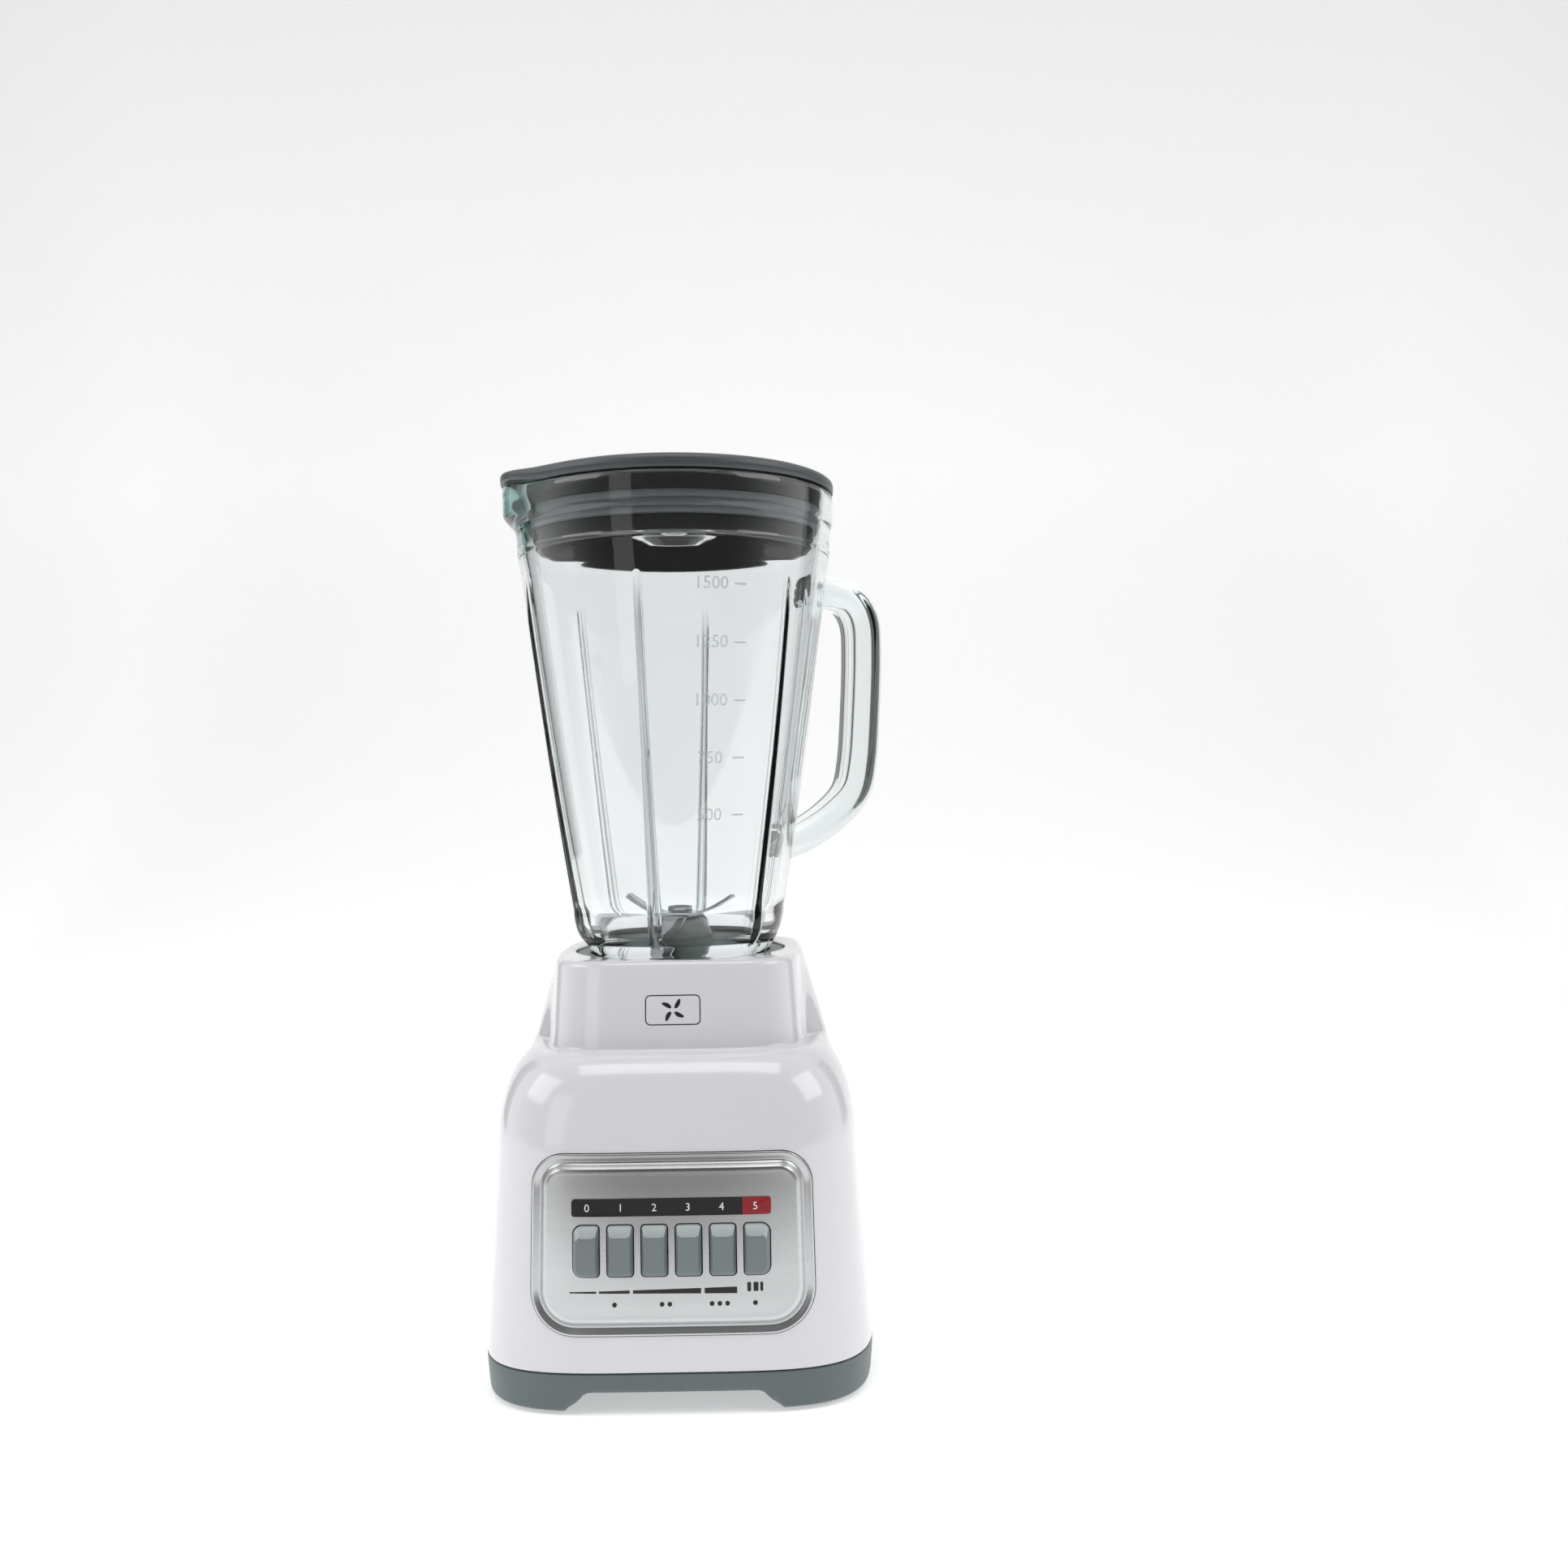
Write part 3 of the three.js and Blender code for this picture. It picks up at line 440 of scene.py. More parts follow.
def make_panel():
    """A bead at the edge, a groove inside it, and a raised middle with a window for each key."""
    back = [(inset, PANEL_BACK) for inset in PANEL_STEPS]
    edge = [(0.25, PANEL_BACK), (0, -2.5), (0, 0.35), (0.15, 0.65), (0.5, 0.82), (1.0, 0.72)]
    groove = [(2.0, 0.2), (3.0, -0.38), (3.4, -0.5), (3.8, -0.38), (4.6, 0.55)]
    rise = [(5.6, 1.75), (6.1, 2.15), (6.6, 2.26), (7.4, 2.22)]
    middle = [(inset, PANEL_FRONT) for inset in (9, 13, 18, 24, 29, 34)]
    profile = back + edge + groove + rise + middle
    plate = face_slab("front_panel", [(panel_outline(inset), w) for inset, w in profile], sharp=60)
    windows = []
    for i in range(6):
        grown = key_outline(i, -WINDOW_GAP)
        windows.append(face_slab("window", [(grown, -6), (grown, 6)], follow=False))
    return boolean(plate, [joined("windows", windows)], sharp=50)


def flat_piece(name, points, low, high, bevel=0.15):
    """A thin plate on the panel, bevelled round its upper edge."""
    cx = sum(x for x, _ in points) / len(points)
    cy = sum(y for _, y in points) / len(points)
    half_x = max(abs(x - cx) for x, _ in points)
    half_y = max(abs(y - cy) for _, y in points)
    shrunk = [(cx + (x - cx) * (1 - bevel / half_x), cy + (y - cy) * (1 - bevel / half_y)) for x, y in points]
    return face_slab(name, [(points, low), (points, high - bevel), (shrunk, high)], sharp=40)


def text_points(text, size):
    """Outlines of generic numerals, as a flat mesh centred on the origin."""
    curve = bpy.data.curves.new("numeral", "FONT")
    curve.body = text
    curve.size = size
    curve.align_x = "CENTER"
    curve.align_y = "CENTER"
    curve.resolution_u = 4
    obj = bpy.data.objects.new("numeral", curve)
    bpy.context.collection.objects.link(obj)
    bpy.context.view_layer.update()
    mesh = bpy.data.meshes.new_from_object(obj.evaluated_get(bpy.context.evaluated_depsgraph_get()))
    bpy.data.objects.remove(obj)
    return mesh


def printed(name, mesh, place, thick):
    """A flat mesh given a little thickness and laid on a surface by place(x, y, height)."""
    bm = bmesh.new()
    bm.from_mesh(mesh)
    bmesh.ops.remove_doubles(bm, verts=bm.verts, dist=1e-5)
    lower = bmesh.ops.extrude_face_region(bm, geom=bm.faces[:])
    raised = {v for v in lower["geom"] if isinstance(v, bmesh.types.BMVert)}
    for vert in bm.verts:
        vert.co = world(place(vert.co.x, vert.co.y, thick if vert in raised else 0.01))
    bmesh.ops.recalc_face_normals(bm, faces=bm.faces)
    out = bpy.data.meshes.new(name)
    bm.to_mesh(out)
    bm.free()
    return link(name, out, 40)


def polygon_mesh(points):
    mesh = bpy.data.meshes.new("flat")
    mesh.from_pydata([(x, y, 0) for x, y in points], [], [tuple(range(len(points)))])
    return mesh


FACE_W, LABEL_W = 2.24, 3.02
BADGE_Z = 158


def on_neck(u, v, w):
    """A point of the neck's front, u to the right of its middle and v above the badge's middle."""
    z = BADGE_Z + v
    half = neck_half(z)
    depth = half * DEPTH_RATIO * (1 - abs(u / half) ** CORNER_POWER) ** (1 / CORNER_POWER)
    return (u, -depth - w, z)


def badge():
    """A plain frame with a pictogram of four stirring blades."""
    def frame_mesh():
        outer = rounded(11.6, -6.3, 6.3, [2.2] * 4, 6, 12)
        inner = rounded(11.15, -5.85, 5.85, [1.8] * 4, 6, 12)
        count = len(outer)
        mesh = bpy.data.meshes.new("flat")
        faces = [(i, (i + 1) % count, count + (i + 1) % count, count + i) for i in range(count)]
        mesh.from_pydata([(x, y, 0) for x, y in outer + inner], [], faces)
        return mesh

    parts = [printed("frame", frame_mesh(), on_neck, 0.05)]
    for k in range(4):
        turn = (k * 90 + 45) * DEGREE
        c, s = math.cos(turn), math.sin(turn)
        petal = []
        for t in range(24):
            along, across = 3.2 + 2.1 * math.cos(t * math.pi / 12), 0.9 * math.sin(t * math.pi / 12)
            across += 0.12 * (along - 1) ** 2 * 0.5
            petal.append((along * c - across * s, along * s + across * c))
        parts.append(printed("petal", polygon_mesh(petal), on_neck, 0.05))
    return parts


INK = 0.1
WEDGE_V, PULSE_V, DOT_V, NUMERAL_V = -18.5, -16.9, -23.2, 14.9
DOT_R, DOT_PITCH = 0.95, 3.1


def prints():
    """Speed wedge, pulse mark, dots and numerals, all drawn on the panel and on its label strip."""
    black, white = [], []

    def on_panel(height):
        return lambda u, v, w: on_face(u, v, w + height)

    def wedge_half(u):
        return mix(0.1, 1.45, (u + 41) / 67)

    for a, b in ((-41, -30.3), (-29.2, -16.9), (-15.6, 11.6), (13, 26)):
        line = [(u, WEDGE_V + wedge_half(u) + 0.3) for u in steps(a, b, 6)]
        line += [(u, WEDGE_V - wedge_half(u) * 0.55) for u in reversed(steps(a, b, 6))]
        black.append(printed("wedge", polygon_mesh(list(reversed(line))), on_panel(FACE_W), INK))
    for u, half in ((30.8, 0.75), (33.5, 1.0), (35.8, 0.6)):
        bar = rounded(half, -1.75, 1.75, [0.35] * 4, 3, 2)
        placed = [(x + u, y + PULSE_V) for x, y in bar]
        black.append(printed("pulse bar", polygon_mesh(placed), on_panel(FACE_W), INK))
    for u, count in ((-23, 1), (-2.5, 2), (19, 3), (33.2, 1)):
        for k in range(count):
            x = u + (k - (count - 1) / 2) * DOT_PITCH
            dot = circle_points(DOT_R, 20, x, DOT_V)
            black.append(printed("dot", polygon_mesh(dot), on_panel(FACE_W), INK))
    for i, u in enumerate(KEYS):
        numeral = text_points(str(i), 4.3)
        numeral.transform(Matrix.Translation((u * 0.985, NUMERAL_V, 0)))
        white.append(printed("numeral", numeral, on_panel(LABEL_W), 0.04))
    return black, white


# ---------------------------------------------------------------- glass jar

TURN = 20.4 * DEGREE
SPOUT = math.pi + TURN
RIB = -99.6 * DEGREE
NEAR_RIB = [0, 0.2, 0.45, 0.7, 0.95, 1.25, 1.6, 2, 2.4, 2.8, 3.3, 4, 5, 6.5, 8.5, 11, 14, 17.5, 21, 25]
RIB_STEPS = [-step for step in reversed(NEAR_RIB[1:])] + NEAR_RIB + [30]
JAR_ANGLES = [RIB + (60 * k + step) * DEGREE for k in range(6) for step in RIB_STEPS]


HEEL_LOW_Z, HEEL_TOP_Z, SHOULDER_Z, BEAD_Z, RIM_LOW_Z, RIM_Z = 177.8, 197, 345, 355.5, 365, 381.2
HEEL_R, RIM_LOW_R = 47, 70.7
GLASS_WALL = 4.4
SPOUT_REACH, SPOUT_INNER_REACH, SPOUT_RISE = 5.2, 2.6, 2.6


def turn_between(a, b):
    turn = abs(a - b) % (2 * math.pi)
    return min(turn, 2 * math.pi - turn)


def jar_radius(z):
    """Foot, rounded heel, bowed wall, shoulder with a low bead, and rim."""
    if z < HEEL_LOW_Z:
        return 39.4
    if z < HEEL_TOP_Z:
        left = 1 - (z - HEEL_LOW_Z) / (HEEL_TOP_Z - HEEL_LOW_Z)
        return HEEL_R - 7 * left * left
    if z <= SHOULDER_Z:
        share = (z - HEEL_TOP_Z) / (SHOULDER_Z - HEEL_TOP_Z)
        return mix(HEEL_R, 68.5, share) + 3.6 * share * (1 - share)
    if z < RIM_LOW_Z:
        wall = mix(69.3, RIM_LOW_R, (z - SHOULDER_Z) / (RIM_LOW_Z - SHOULDER_Z))
        bead = 0.3 * math.exp(-((z - BEAD_Z) / 1.3) ** 2)
        return wall + bead - 0.8 * (1 - smooth(SHOULDER_Z, 353, z))
    return mix(RIM_LOW_R, 72, smooth(RIM_LOW_Z, 370, z))


def spout_share(angle, z):
    return math.exp(-(turn_between(angle, SPOUT) / (15 * DEGREE)) ** 2) * smooth(364.5, 371.5, z)


def jar_outside(z):
    def radius(angle):
        rib_turn = turn_between(((angle - RIB) * 6) % (2 * math.pi), 0) / 6
        ribbed = smooth(180, 187, z) * (1 - smooth(322, 342, z))
        width = mix(3.1, 1.3, smooth(183, 290, z)) * DEGREE
        rib = mix(1.9, 1.2, smooth(183, 320, z)) * ribbed * max(0, 1 - (rib_turn / width) ** 2) ** 0.8
        return jar_radius(z) + rib + SPOUT_REACH * spout_share(angle, z)
    return radius


def jar_ring(z, radius):
    """One ring of the jar, with its points packed round the ribs."""
    return [around(angle, z, radius) for angle in JAR_ANGLES]


def jar_inside(z, wall):
    return lambda angle: jar_radius(z) - wall + SPOUT_INNER_REACH * spout_share(angle, z)


def rim_height(drop):
    return lambda angle: RIM_Z + SPOUT_RISE * spout_share(angle, RIM_Z) - drop


def curve_through(points, count):
    """A Catmull-Rom curve, with its direction at each place."""
    places = []
    spans = len(points) - 1
    for i in range(count + 1):
        t = i / count * spans
        k = min(int(t), spans - 1)
        t -= k
        a, b = Vector(points[max(k - 1, 0)]), Vector(points[k])
        c, d = Vector(points[k + 1]), Vector(points[min(k + 2, spans)])
        square, cube = 2 * a - 5 * b + 4 * c - d, 3 * b - a - 3 * c + d
        place = 0.5 * (2 * b + (c - a) * t + square * t * t + cube * t ** 3)
        way = 0.5 * ((c - a) + 2 * square * t + 3 * cube * t * t)
        places.append((place, way.normalized()))
    return places


def make_handle():
    line = [(65.4, 341), (76, 340.5), (85, 337), (90.5, 327), (91.2, 310), (90, 285), (88, 262),
            (84, 247), (73, 236), (60, 228), (48.3, 223.5)]
    section = rounded(12, -7, 7, [5.2] * 4, 8, 5)
    out = Vector((math.cos(TURN), math.sin(TURN), 0))
    across = Vector((-math.sin(TURN), math.cos(TURN), 0))
    rings = []
    for place, way in curve_through(line, 90):
        normal = Vector((-way[1], way[0]))
        loop = []
        for u, v in section:
            r, z = place[0] + normal[0] * v, place[1] + normal[1] * v
            loop.append(tuple(out * r + across * u + Vector((0, 0, z))))
        rings.append(loop)
    return loft("handle", rings, sharp=60)


def make_jar():
    foot = ((169.9, 39.0), (169.5, 38.4))
    rings = [jar_ring(169.9, 39.3)]
    heights = [174, 177.4] + steps(178, HEEL_TOP_Z, 12) + steps(200, 344, 48)
    heights += [SHOULDER_Z, 345.6, 347, 350, 352] + steps(353, 358, 12) + steps(360, 378, 14)
    rings += [jar_ring(z, jar_outside(z)) for z in heights]
    rim = jar_outside(RIM_Z)
    lip = ((1.3, 0), (0.6, 0.25), (0.2, 0.75), (0, 1.5), (0, 2.5), (0.2, 3.3), (0.7, 3.8), (1.4, 4))
    for drop, back in lip:
        rings.append(jar_ring(rim_height(drop), lambda angle, back=back: rim(angle) - back))
    rings += [jar_ring(z, jar_inside(z, GLASS_WALL)) for z in reversed(steps(200, 376, 60))]
    floor = ((196, 42.1), (192, 41), (189, 39.6), (186.5, 37.8), (184.5, 35.6), (183.5, 35), (176, 35),
             (169.9, 35), (169.5, 35.4))
    rings += [jar_ring(z, r) for z, r in floor]
    rings += [jar_ring(z, r) for z, r in reversed(foot)]
    jar = loft("ribbed_jar", rings, closed=True, sharp=55)
    return boolean(jar, [make_handle()], "UNION", 55)


MARK_START, MARK_TOP_Z, MARK_PITCH, MARK_RELIEF = -76 * DEGREE, 335, 24, 0.25


def jar_marks():
    """Graduations: short ticks and plain numbers, raised a little on the glass."""
    marks = []
    for k in range(5):
        level = MARK_TOP_Z - MARK_PITCH * k

        def place(x, y, w, level=level):
            angle = MARK_START + x / jar_radius(level)
            return around(angle, level + y, jar_outside(level + y)(angle) + w)

        tick = polygon_mesh([(13.5, -0.4), (19, -0.4), (19, 0.4), (13.5, 0.4)])
        marks.append(printed("tick", tick, place, MARK_RELIEF))
        numeral = text_points(str(1500 - 250 * k), 7.4)
        numeral.transform(Matrix.Translation((3.4, 0, 0)))
        marks.append(printed("numeral", numeral, place, MARK_RELIEF))
    return marks


# ---------------------------------------------------------------- collar, blades, lid

def cup(angle):
    return 44 + 2.6 * (1 - smooth(1.6, 2.4, degrees_from_lug(angle)))


def make_collar():
    rows = [(150.3, 43.4), (150, 43), (150, 40.4), (150.4, 40), (156, 40), (156, 34), (161, 34),
            (161, 40.4), (177, 40.4), (177.3, 40.8), (177.3, 45.6), (177.1, 46.3), (176.4, 46.75),
            (175.6, 46.8), (173.3, 46.8)]
    rings = [ring(240, z, r) for z, r in rows]
    rings += [ring(240, 173.3, cup), ring(240, 151, cup), ring(240, 150.3, lambda a: cup(a) - 0.4)]
    return loft("screw_collar", rings, closed=True)


WING_FROM = 0.38
BLADE_HALF, TIP_HALF, BLADE_THICK, BLADE_HOLE_R = 7.2, 3.6, 0.8, 3.5


def blade(name, rise, reach, height, turn):
    """A strip with a flat middle and two bent wings, each ground to an edge on its leading side."""
    outer = [0.2, 0.34, WING_FROM, 0.41, 0.46, 0.55, 0.68, 0.8, 0.9, 1]
    c, s = math.cos(turn), math.sin(turn)
    rings = []
    for share in [-value for value in reversed(outer)] + [0] + outer:
        away = abs(share)
        wing = max(0, (away - WING_FROM) / (1 - WING_FROM))
        x, z = share * reach, height + rise * max(0, wing - 0.02 + 0.02 * smooth(0.3, 0.48, away))
        half = mix(BLADE_HALF, TIP_HALF, wing)
        ground = smooth(0.36, 0.5, away)
        right, left = (ground, 0) if share > 0 else (0, ground)
        section = [(-half, -BLADE_THICK), (half, -BLADE_THICK), (half, BLADE_THICK - 1.24 * right),
                   (half - 2.6 * right - 0.1, BLADE_THICK), (-half + 2.6 * left + 0.1, BLADE_THICK),
                   (-half, BLADE_THICK - 1.24 * left)]
        rings.append([(x * c - y * s, x * s + y * c, z + w) for y, w in section])
    strip = loft(name, rings, sharp=18)
    low, high = height - 9, height + 9
    hole = turned("hole", [(0, low), (BLADE_HOLE_R, low), (BLADE_HOLE_R, high), (0, high)], 48)
    return boolean(strip, [hole], sharp=18)


def make_nut():
    def hexagon(r):
        return lambda angle: r / math.cos((angle % (math.pi / 3)) - math.pi / 6)
    rows = [(192.8, 4.6), (193.1, 4.75), (196.3, 4.75), (197, 4.3)]
    rings = [ring(72, z, hexagon(r)) for z, r in rows]
    rings += [ring(72, z, 3.9) for z in (197, 192.8)]
    return loft("hex_nut", rings, closed=True)


def make_blade_base():
    rows = [(38, 161.4), (38.9, 161.4), (39.2, 161.8), (39.2, 166.5), (38.9, 166.9), (33.3, 166.9),
            (33, 167.2), (33, 172.6), (32.6, 173.3), (31.8, 173.55), (26, 174.4), (20, 175.3),
            (17.2, 175.8), (15.9, 176.6), (15, 178.5), (13.4, 183.4), (12.8, 184.6), (11.4, 186.3),
            (10, 187.6), (9.2, 188), (7.1, 188), (6.8, 187.7), (6.8, 161.4)]
    return turned("blade_mount", rows, 160, sharp=40)


LID_SPOUT_WIDTH = 17 * DEGREE


def make_lid():
    """Skirt, cap hole and top, then the rim that covers the spout, and the groove for the seal."""
    def cover(radius, reach):
        return lambda angle: radius + reach * math.exp(-(turn_between(angle, SPOUT) / LID_SPOUT_WIDTH) ** 2)

    def lift(z, rise):
        return lambda angle: z + rise * spout_share(angle, RIM_Z)

    rows = [(357.3, 62.2), (357, 61.8), (357, 60.4), (357.4, 60), (378, 60), (378, 25), (372.3, 24.5),
            (372, 24.2), (372, 21.9), (372.3, 21.6), (387, 21.9), (387.4, 22.3), (387.4, 29.3),
            (387.6, 29.9), (388.4, 31.6), (388.6, 32), (388.6, 45), (388.6, 58)]
    rings = [ring(240, z, r, SPOUT) for z, r in rows]
    top = ((388.6, 0, 65.4, 2.8), (388.45, 0.3, 67.2, 3.6), (388.0, 1.0, 69.2, 4.7),
           (387.3, 1.9, 70.9, 5.2), (386.4, 2.4, 72.0, 5.5), (385.4, 2.6, 72.4, 5.6),
           (384.3, 3.0, 72.4, 5.6), (384.0, 3.0, 72.15, 5.6), (383.7, 3.0, 72.4, 5.6),
           (382.4, 3.3, 72.3, 5.6), (381.9, 3.4, 72.0, 5.5), (381.6, 3.4, 71.4, 5.4), (381.6, 3.4, 67.6, 4))
    rings += [ring(240, lift(z, rise), cover(r, reach), SPOUT) for z, rise, r, reach in top]
    under = ((381.6, 66.2), (374.4, 65.6), (374.2, 65.4), (374.2, 61.8), (363.8, 61.8), (363.8, 62.9),
             (363.6, 63), (362, 63), (359, 62.6))
    rings += [ring(240, z, r, SPOUT) for z, r in under]
    return loft("dark_lid", rings, closed=True, sharp=30)


def make_seal():
    rows = [(62.1, 364.2), (65.2, 364.4), (65.75, 364.9), (65.95, 366), (65.6, 366.9), (65.2, 367.3),
            (65.6, 367.7), (65.95, 368.7), (65.95, 369.6), (65.55, 370.4), (65.15, 370.8), (65.5, 371.2),
            (65.8, 372.2), (65.6, 373.3), (65.2, 373.8), (62.1, 373.8)]
    return turned("soft_seal", rows, 200, sharp=50)


def make_cap():
    rows = [(17.4, 363.5), (18.8, 363.5), (19, 363.8), (20.2, 377), (21.05, 386.6), (21.3, 387.5),
            (21.6, 387.8), (27.9, 387.8), (28.2, 388.1), (28.2, 391.4), (27.9, 392.4), (27.3, 393.1),
            (26.4, 393.4), (0, 393.4), (0, 390.4), (18.2, 390.2), (18.85, 389.5), (17.6, 375), (17.2, 363.8)]
    return turned("clear_cap", rows, 160, sharp=40)


def make_gland():
    rows = [(3.6, -7.5), (7.3, -7.5), (7.6, -7.2), (7.6, -5.8), (7.3, -5.5), (5.5, -5.5), (5.5, 1.2),
            (8.8, 1.2), (9, 1.5), (8.9, 2), (8.1, 3.8), (7.8, 4), (4, 4), (3.6, 3.6)]
    return spin_to_back(turned("cord_bush", rows, 96))


def make_pad(number):
    rows = [(0, 0), (7.6, 0), (8.2, 0.15), (8.7, 0.6), (8.95, 1.2), (9, 2), (9, 4), (0, 4)]
    return turned(f"rubber_pad_{number}", rows, 64, closed=False)


# ---------------------------------------------------------------- materials

def finish(name, color, roughness, metallic=0.0, grain=400.0, bump=0.02, mottle=0.04, rough_spread=0.06,
           stretch=(1, 1, 1), coat=0.0, edge_highlight=None, extra=None):
    """A Principled surface with fine grain in its bump, and soft variation in its colour and roughness.

    The paler colour given for outward edges is a painted highlight, and extra holds values for the shader's
    other sockets.
    """
    material = bpy.data.materials.new(name)
    material.use_nodes = True
    nodes, links = material.node_tree.nodes, material.node_tree.links
    shader = nodes["Principled BSDF"]
    shader.inputs["Metallic"].default_value = metallic
    shader.inputs["Coat Weight"].default_value = coat
    shader.inputs["Coat Roughness"].default_value = 0.04
    for key, value in (extra or {}).items():
        shader.inputs[key].default_value = value
    place = nodes.new("ShaderNodeTexCoord")
    scale = nodes.new("ShaderNodeMapping")
    scale.inputs["Scale"].default_value = stretch
    links.new(place.outputs["Object"], scale.inputs["Vector"])

    def noise(size, detail):
        node = nodes.new("ShaderNodeTexNoise")
        node.inputs["Scale"].default_value = size
        node.inputs["Detail"].default_value = detail
        links.new(scale.outputs["Vector"], node.inputs["Vector"])
        return node

    ramp = nodes.new("ShaderNodeValToRGB")
    ramp.color_ramp.elements[0].position = 0.3
    ramp.color_ramp.elements[1].position = 0.7
    darker = [c * (1 - mottle) for c in color]
    lighter = [min(1, c * (1 + mottle * 0.6)) for c in color]
    ramp.color_ramp.elements[0].color = (*darker, 1)
    ramp.color_ramp.elements[1].color = (*lighter, 1)
    links.new(noise(18, 3).outputs["Fac"], ramp.inputs["Fac"])
    surface = ramp.outputs["Color"]
    # Painted highlight: outward edges, found by their pointiness, are painted the paler colour.
    if edge_highlight is not None:
        edge = nodes.new("ShaderNodeNewGeometry")
        where = nodes.new("ShaderNodeMapRange")
        where.inputs["From Min"].default_value = 0.53
        where.inputs["From Max"].default_value = 0.62
        links.new(edge.outputs["Pointiness"], where.inputs["Value"])
        blend = nodes.new("ShaderNodeMixRGB")
        blend.inputs["Color2"].default_value = (*edge_highlight, 1)
        links.new(where.outputs["Result"], blend.inputs["Fac"])
        links.new(surface, blend.inputs["Color1"])
        surface = blend.outputs["Color"]
    links.new(surface, shader.inputs["Base Color"])
    spread = nodes.new("ShaderNodeMapRange")
    spread.inputs["To Min"].default_value = max(0.02, roughness - rough_spread)
    spread.inputs["To Max"].default_value = min(1, roughness + rough_spread)
    links.new(noise(60, 4).outputs["Fac"], spread.inputs["Value"])
    links.new(spread.outputs["Result"], shader.inputs["Roughness"])
    relief = nodes.new("ShaderNodeBump")
    relief.inputs["Strength"].default_value = bump
    relief.inputs["Distance"].default_value = 0.0004
    links.new(noise(grain, 6).outputs["Fac"], relief.inputs["Height"])
    links.new(relief.outputs["Normal"], shader.inputs["Normal"])
    return material


def srgb(code):
    parts = [int(code[i:i + 2], 16) / 255 for i in (0, 2, 4)]
    return [p / 12.92 if p <= 0.04045 else ((p + 0.055) / 1.055) ** 2.4 for p in parts]


def clear(name, color, roughness, ior, grain, bump):
    """A clear material with shallow waves in its surface and a faint tint."""
    material = finish(name, color, roughness, grain=grain, bump=bump, mottle=0.01, rough_spread=0.01)
    shader = material.node_tree.nodes["Principled BSDF"]
    shader.inputs["Transmission Weight"].default_value = 1
    shader.inputs["IOR"].default_value = ior
    return material


WHITE = finish("white gloss", srgb("dcdce0"), 0.16, grain=900, bump=0.012, mottle=0.008,
               rough_spread=0.03, coat=0.6)
# Base grey, key grey and lid slate get a painted highlight on their outward edges.
BASE_GREY = finish("base grey", srgb("5f696b"), 0.42, grain=2200, bump=0.12, mottle=0.05, edge_highlight=srgb("7d888a"))
PANEL = finish("brushed panel", srgb("bcbdbe"), 0.27, 0.95, grain=700, bump=0.018, mottle=0.02,
               rough_spread=0.04, stretch=(0.03, 1, 3))
LABEL = finish("label black", srgb("050506"), 0.62, grain=1500, bump=0.05, mottle=0.12)
LABEL_RED = finish("label red", srgb("8c0c1a"), 0.5, grain=1500, bump=0.05, mottle=0.1)
PRINT_BLACK = finish("print black", srgb("141416"), 0.45, grain=1500, bump=0.05, mottle=0.1)
PRINT_WHITE = finish("print white", srgb("e4e4e4"), 0.5, grain=1500, bump=0.05, mottle=0.05)
KEY = finish("key grey", srgb("727c7d"), 0.34, grain=2600, bump=0.08, mottle=0.04, edge_highlight=srgb("a9b1b1"))
# Painted highlight: a paler copy of key grey for the caps' upward top facets.
KEY_LIT_FACET = finish("key facet painted highlight", srgb("a7afaf"), 0.3, grain=2600, bump=0.06, mottle=0.03)
COLLAR = finish("collar grey", srgb("78837f"), 0.42, grain=2200, bump=0.1, mottle=0.04)
FLOOR_GREY = finish("jar floor grey", srgb("9aa7a3"), 0.3, grain=1600, bump=0.06, mottle=0.06)
STEEL = finish("bright steel", srgb("b4b8ba"), 0.2, 1.0, grain=700, bump=0.05, mottle=0.05,
               rough_spread=0.08, stretch=(1, 6, 1))
PLAIN_STEEL = finish("plated steel", srgb("b4b8ba"), 0.3, 1.0, grain=900, bump=0.06, mottle=0.08)
GLASS = clear("jar glass", (0.945, 0.955, 0.961), 0.015, 1.5, 55, 0.02)
tint = GLASS.node_tree.nodes.new("ShaderNodeVolumeAbsorption")
tint.inputs["Color"].default_value = (0.55, 0.77, 0.74, 1)
tint.inputs["Density"].default_value = 8
GLASS.node_tree.links.new(tint.outputs["Volume"], GLASS.node_tree.nodes["Material Output"].inputs["Volume"])
CAP = clear("cap clear", (0.98, 0.985, 0.985), 0.03, 1.49, 90, 0.02)
MARK = finish("frosted mark", srgb("c3cbcb"), 0.5, grain=3000, bump=0.1, mottle=0.05,
              extra={"Transmission Weight": 0.6, "Alpha": 0.4})
LID = finish("lid slate", srgb("454b4d"), 0.38, grain=2400, bump=0.1, mottle=0.04, edge_highlight=srgb("646b6d"))
LID_UNDER = finish("lid dark", srgb("0d0e10"), 0.45, grain=2400, bump=0.08, mottle=0.06)
SEAL = finish("seal rubber", srgb("858b8d"), 0.36, grain=1200, bump=0.15, mottle=0.05)
RUBBER = finish("rubber", srgb("26282a"), 0.8, grain=1800, bump=0.3, mottle=0.15)
DARK = finish("dark plastic", srgb("2b2e30"), 0.5, grain=2000, bump=0.15, mottle=0.1)
IRON = finish("laminated iron", srgb("6d7072"), 0.5, 0.9, grain=300, bump=0.25, mottle=0.15,
              stretch=(1, 1, 12))
COPPER = finish("wound copper", srgb("a8673c"), 0.38, 0.9, grain=420, bump=0.4, mottle=0.12,
                stretch=(1, 9, 1))
CARBON = finish("carbon", srgb("2f3133"), 0.6, 0.2, grain=1500, bump=0.2, mottle=0.2)
SPRING = finish("spring steel", srgb("c4c8ca"), 0.25, 1.0, grain=1500, bump=0.05, mottle=0.06)
BRONZE = finish("bushing bronze", srgb("a8673c"), 0.3, 1.0, grain=1100, bump=0.08, mottle=0.1)


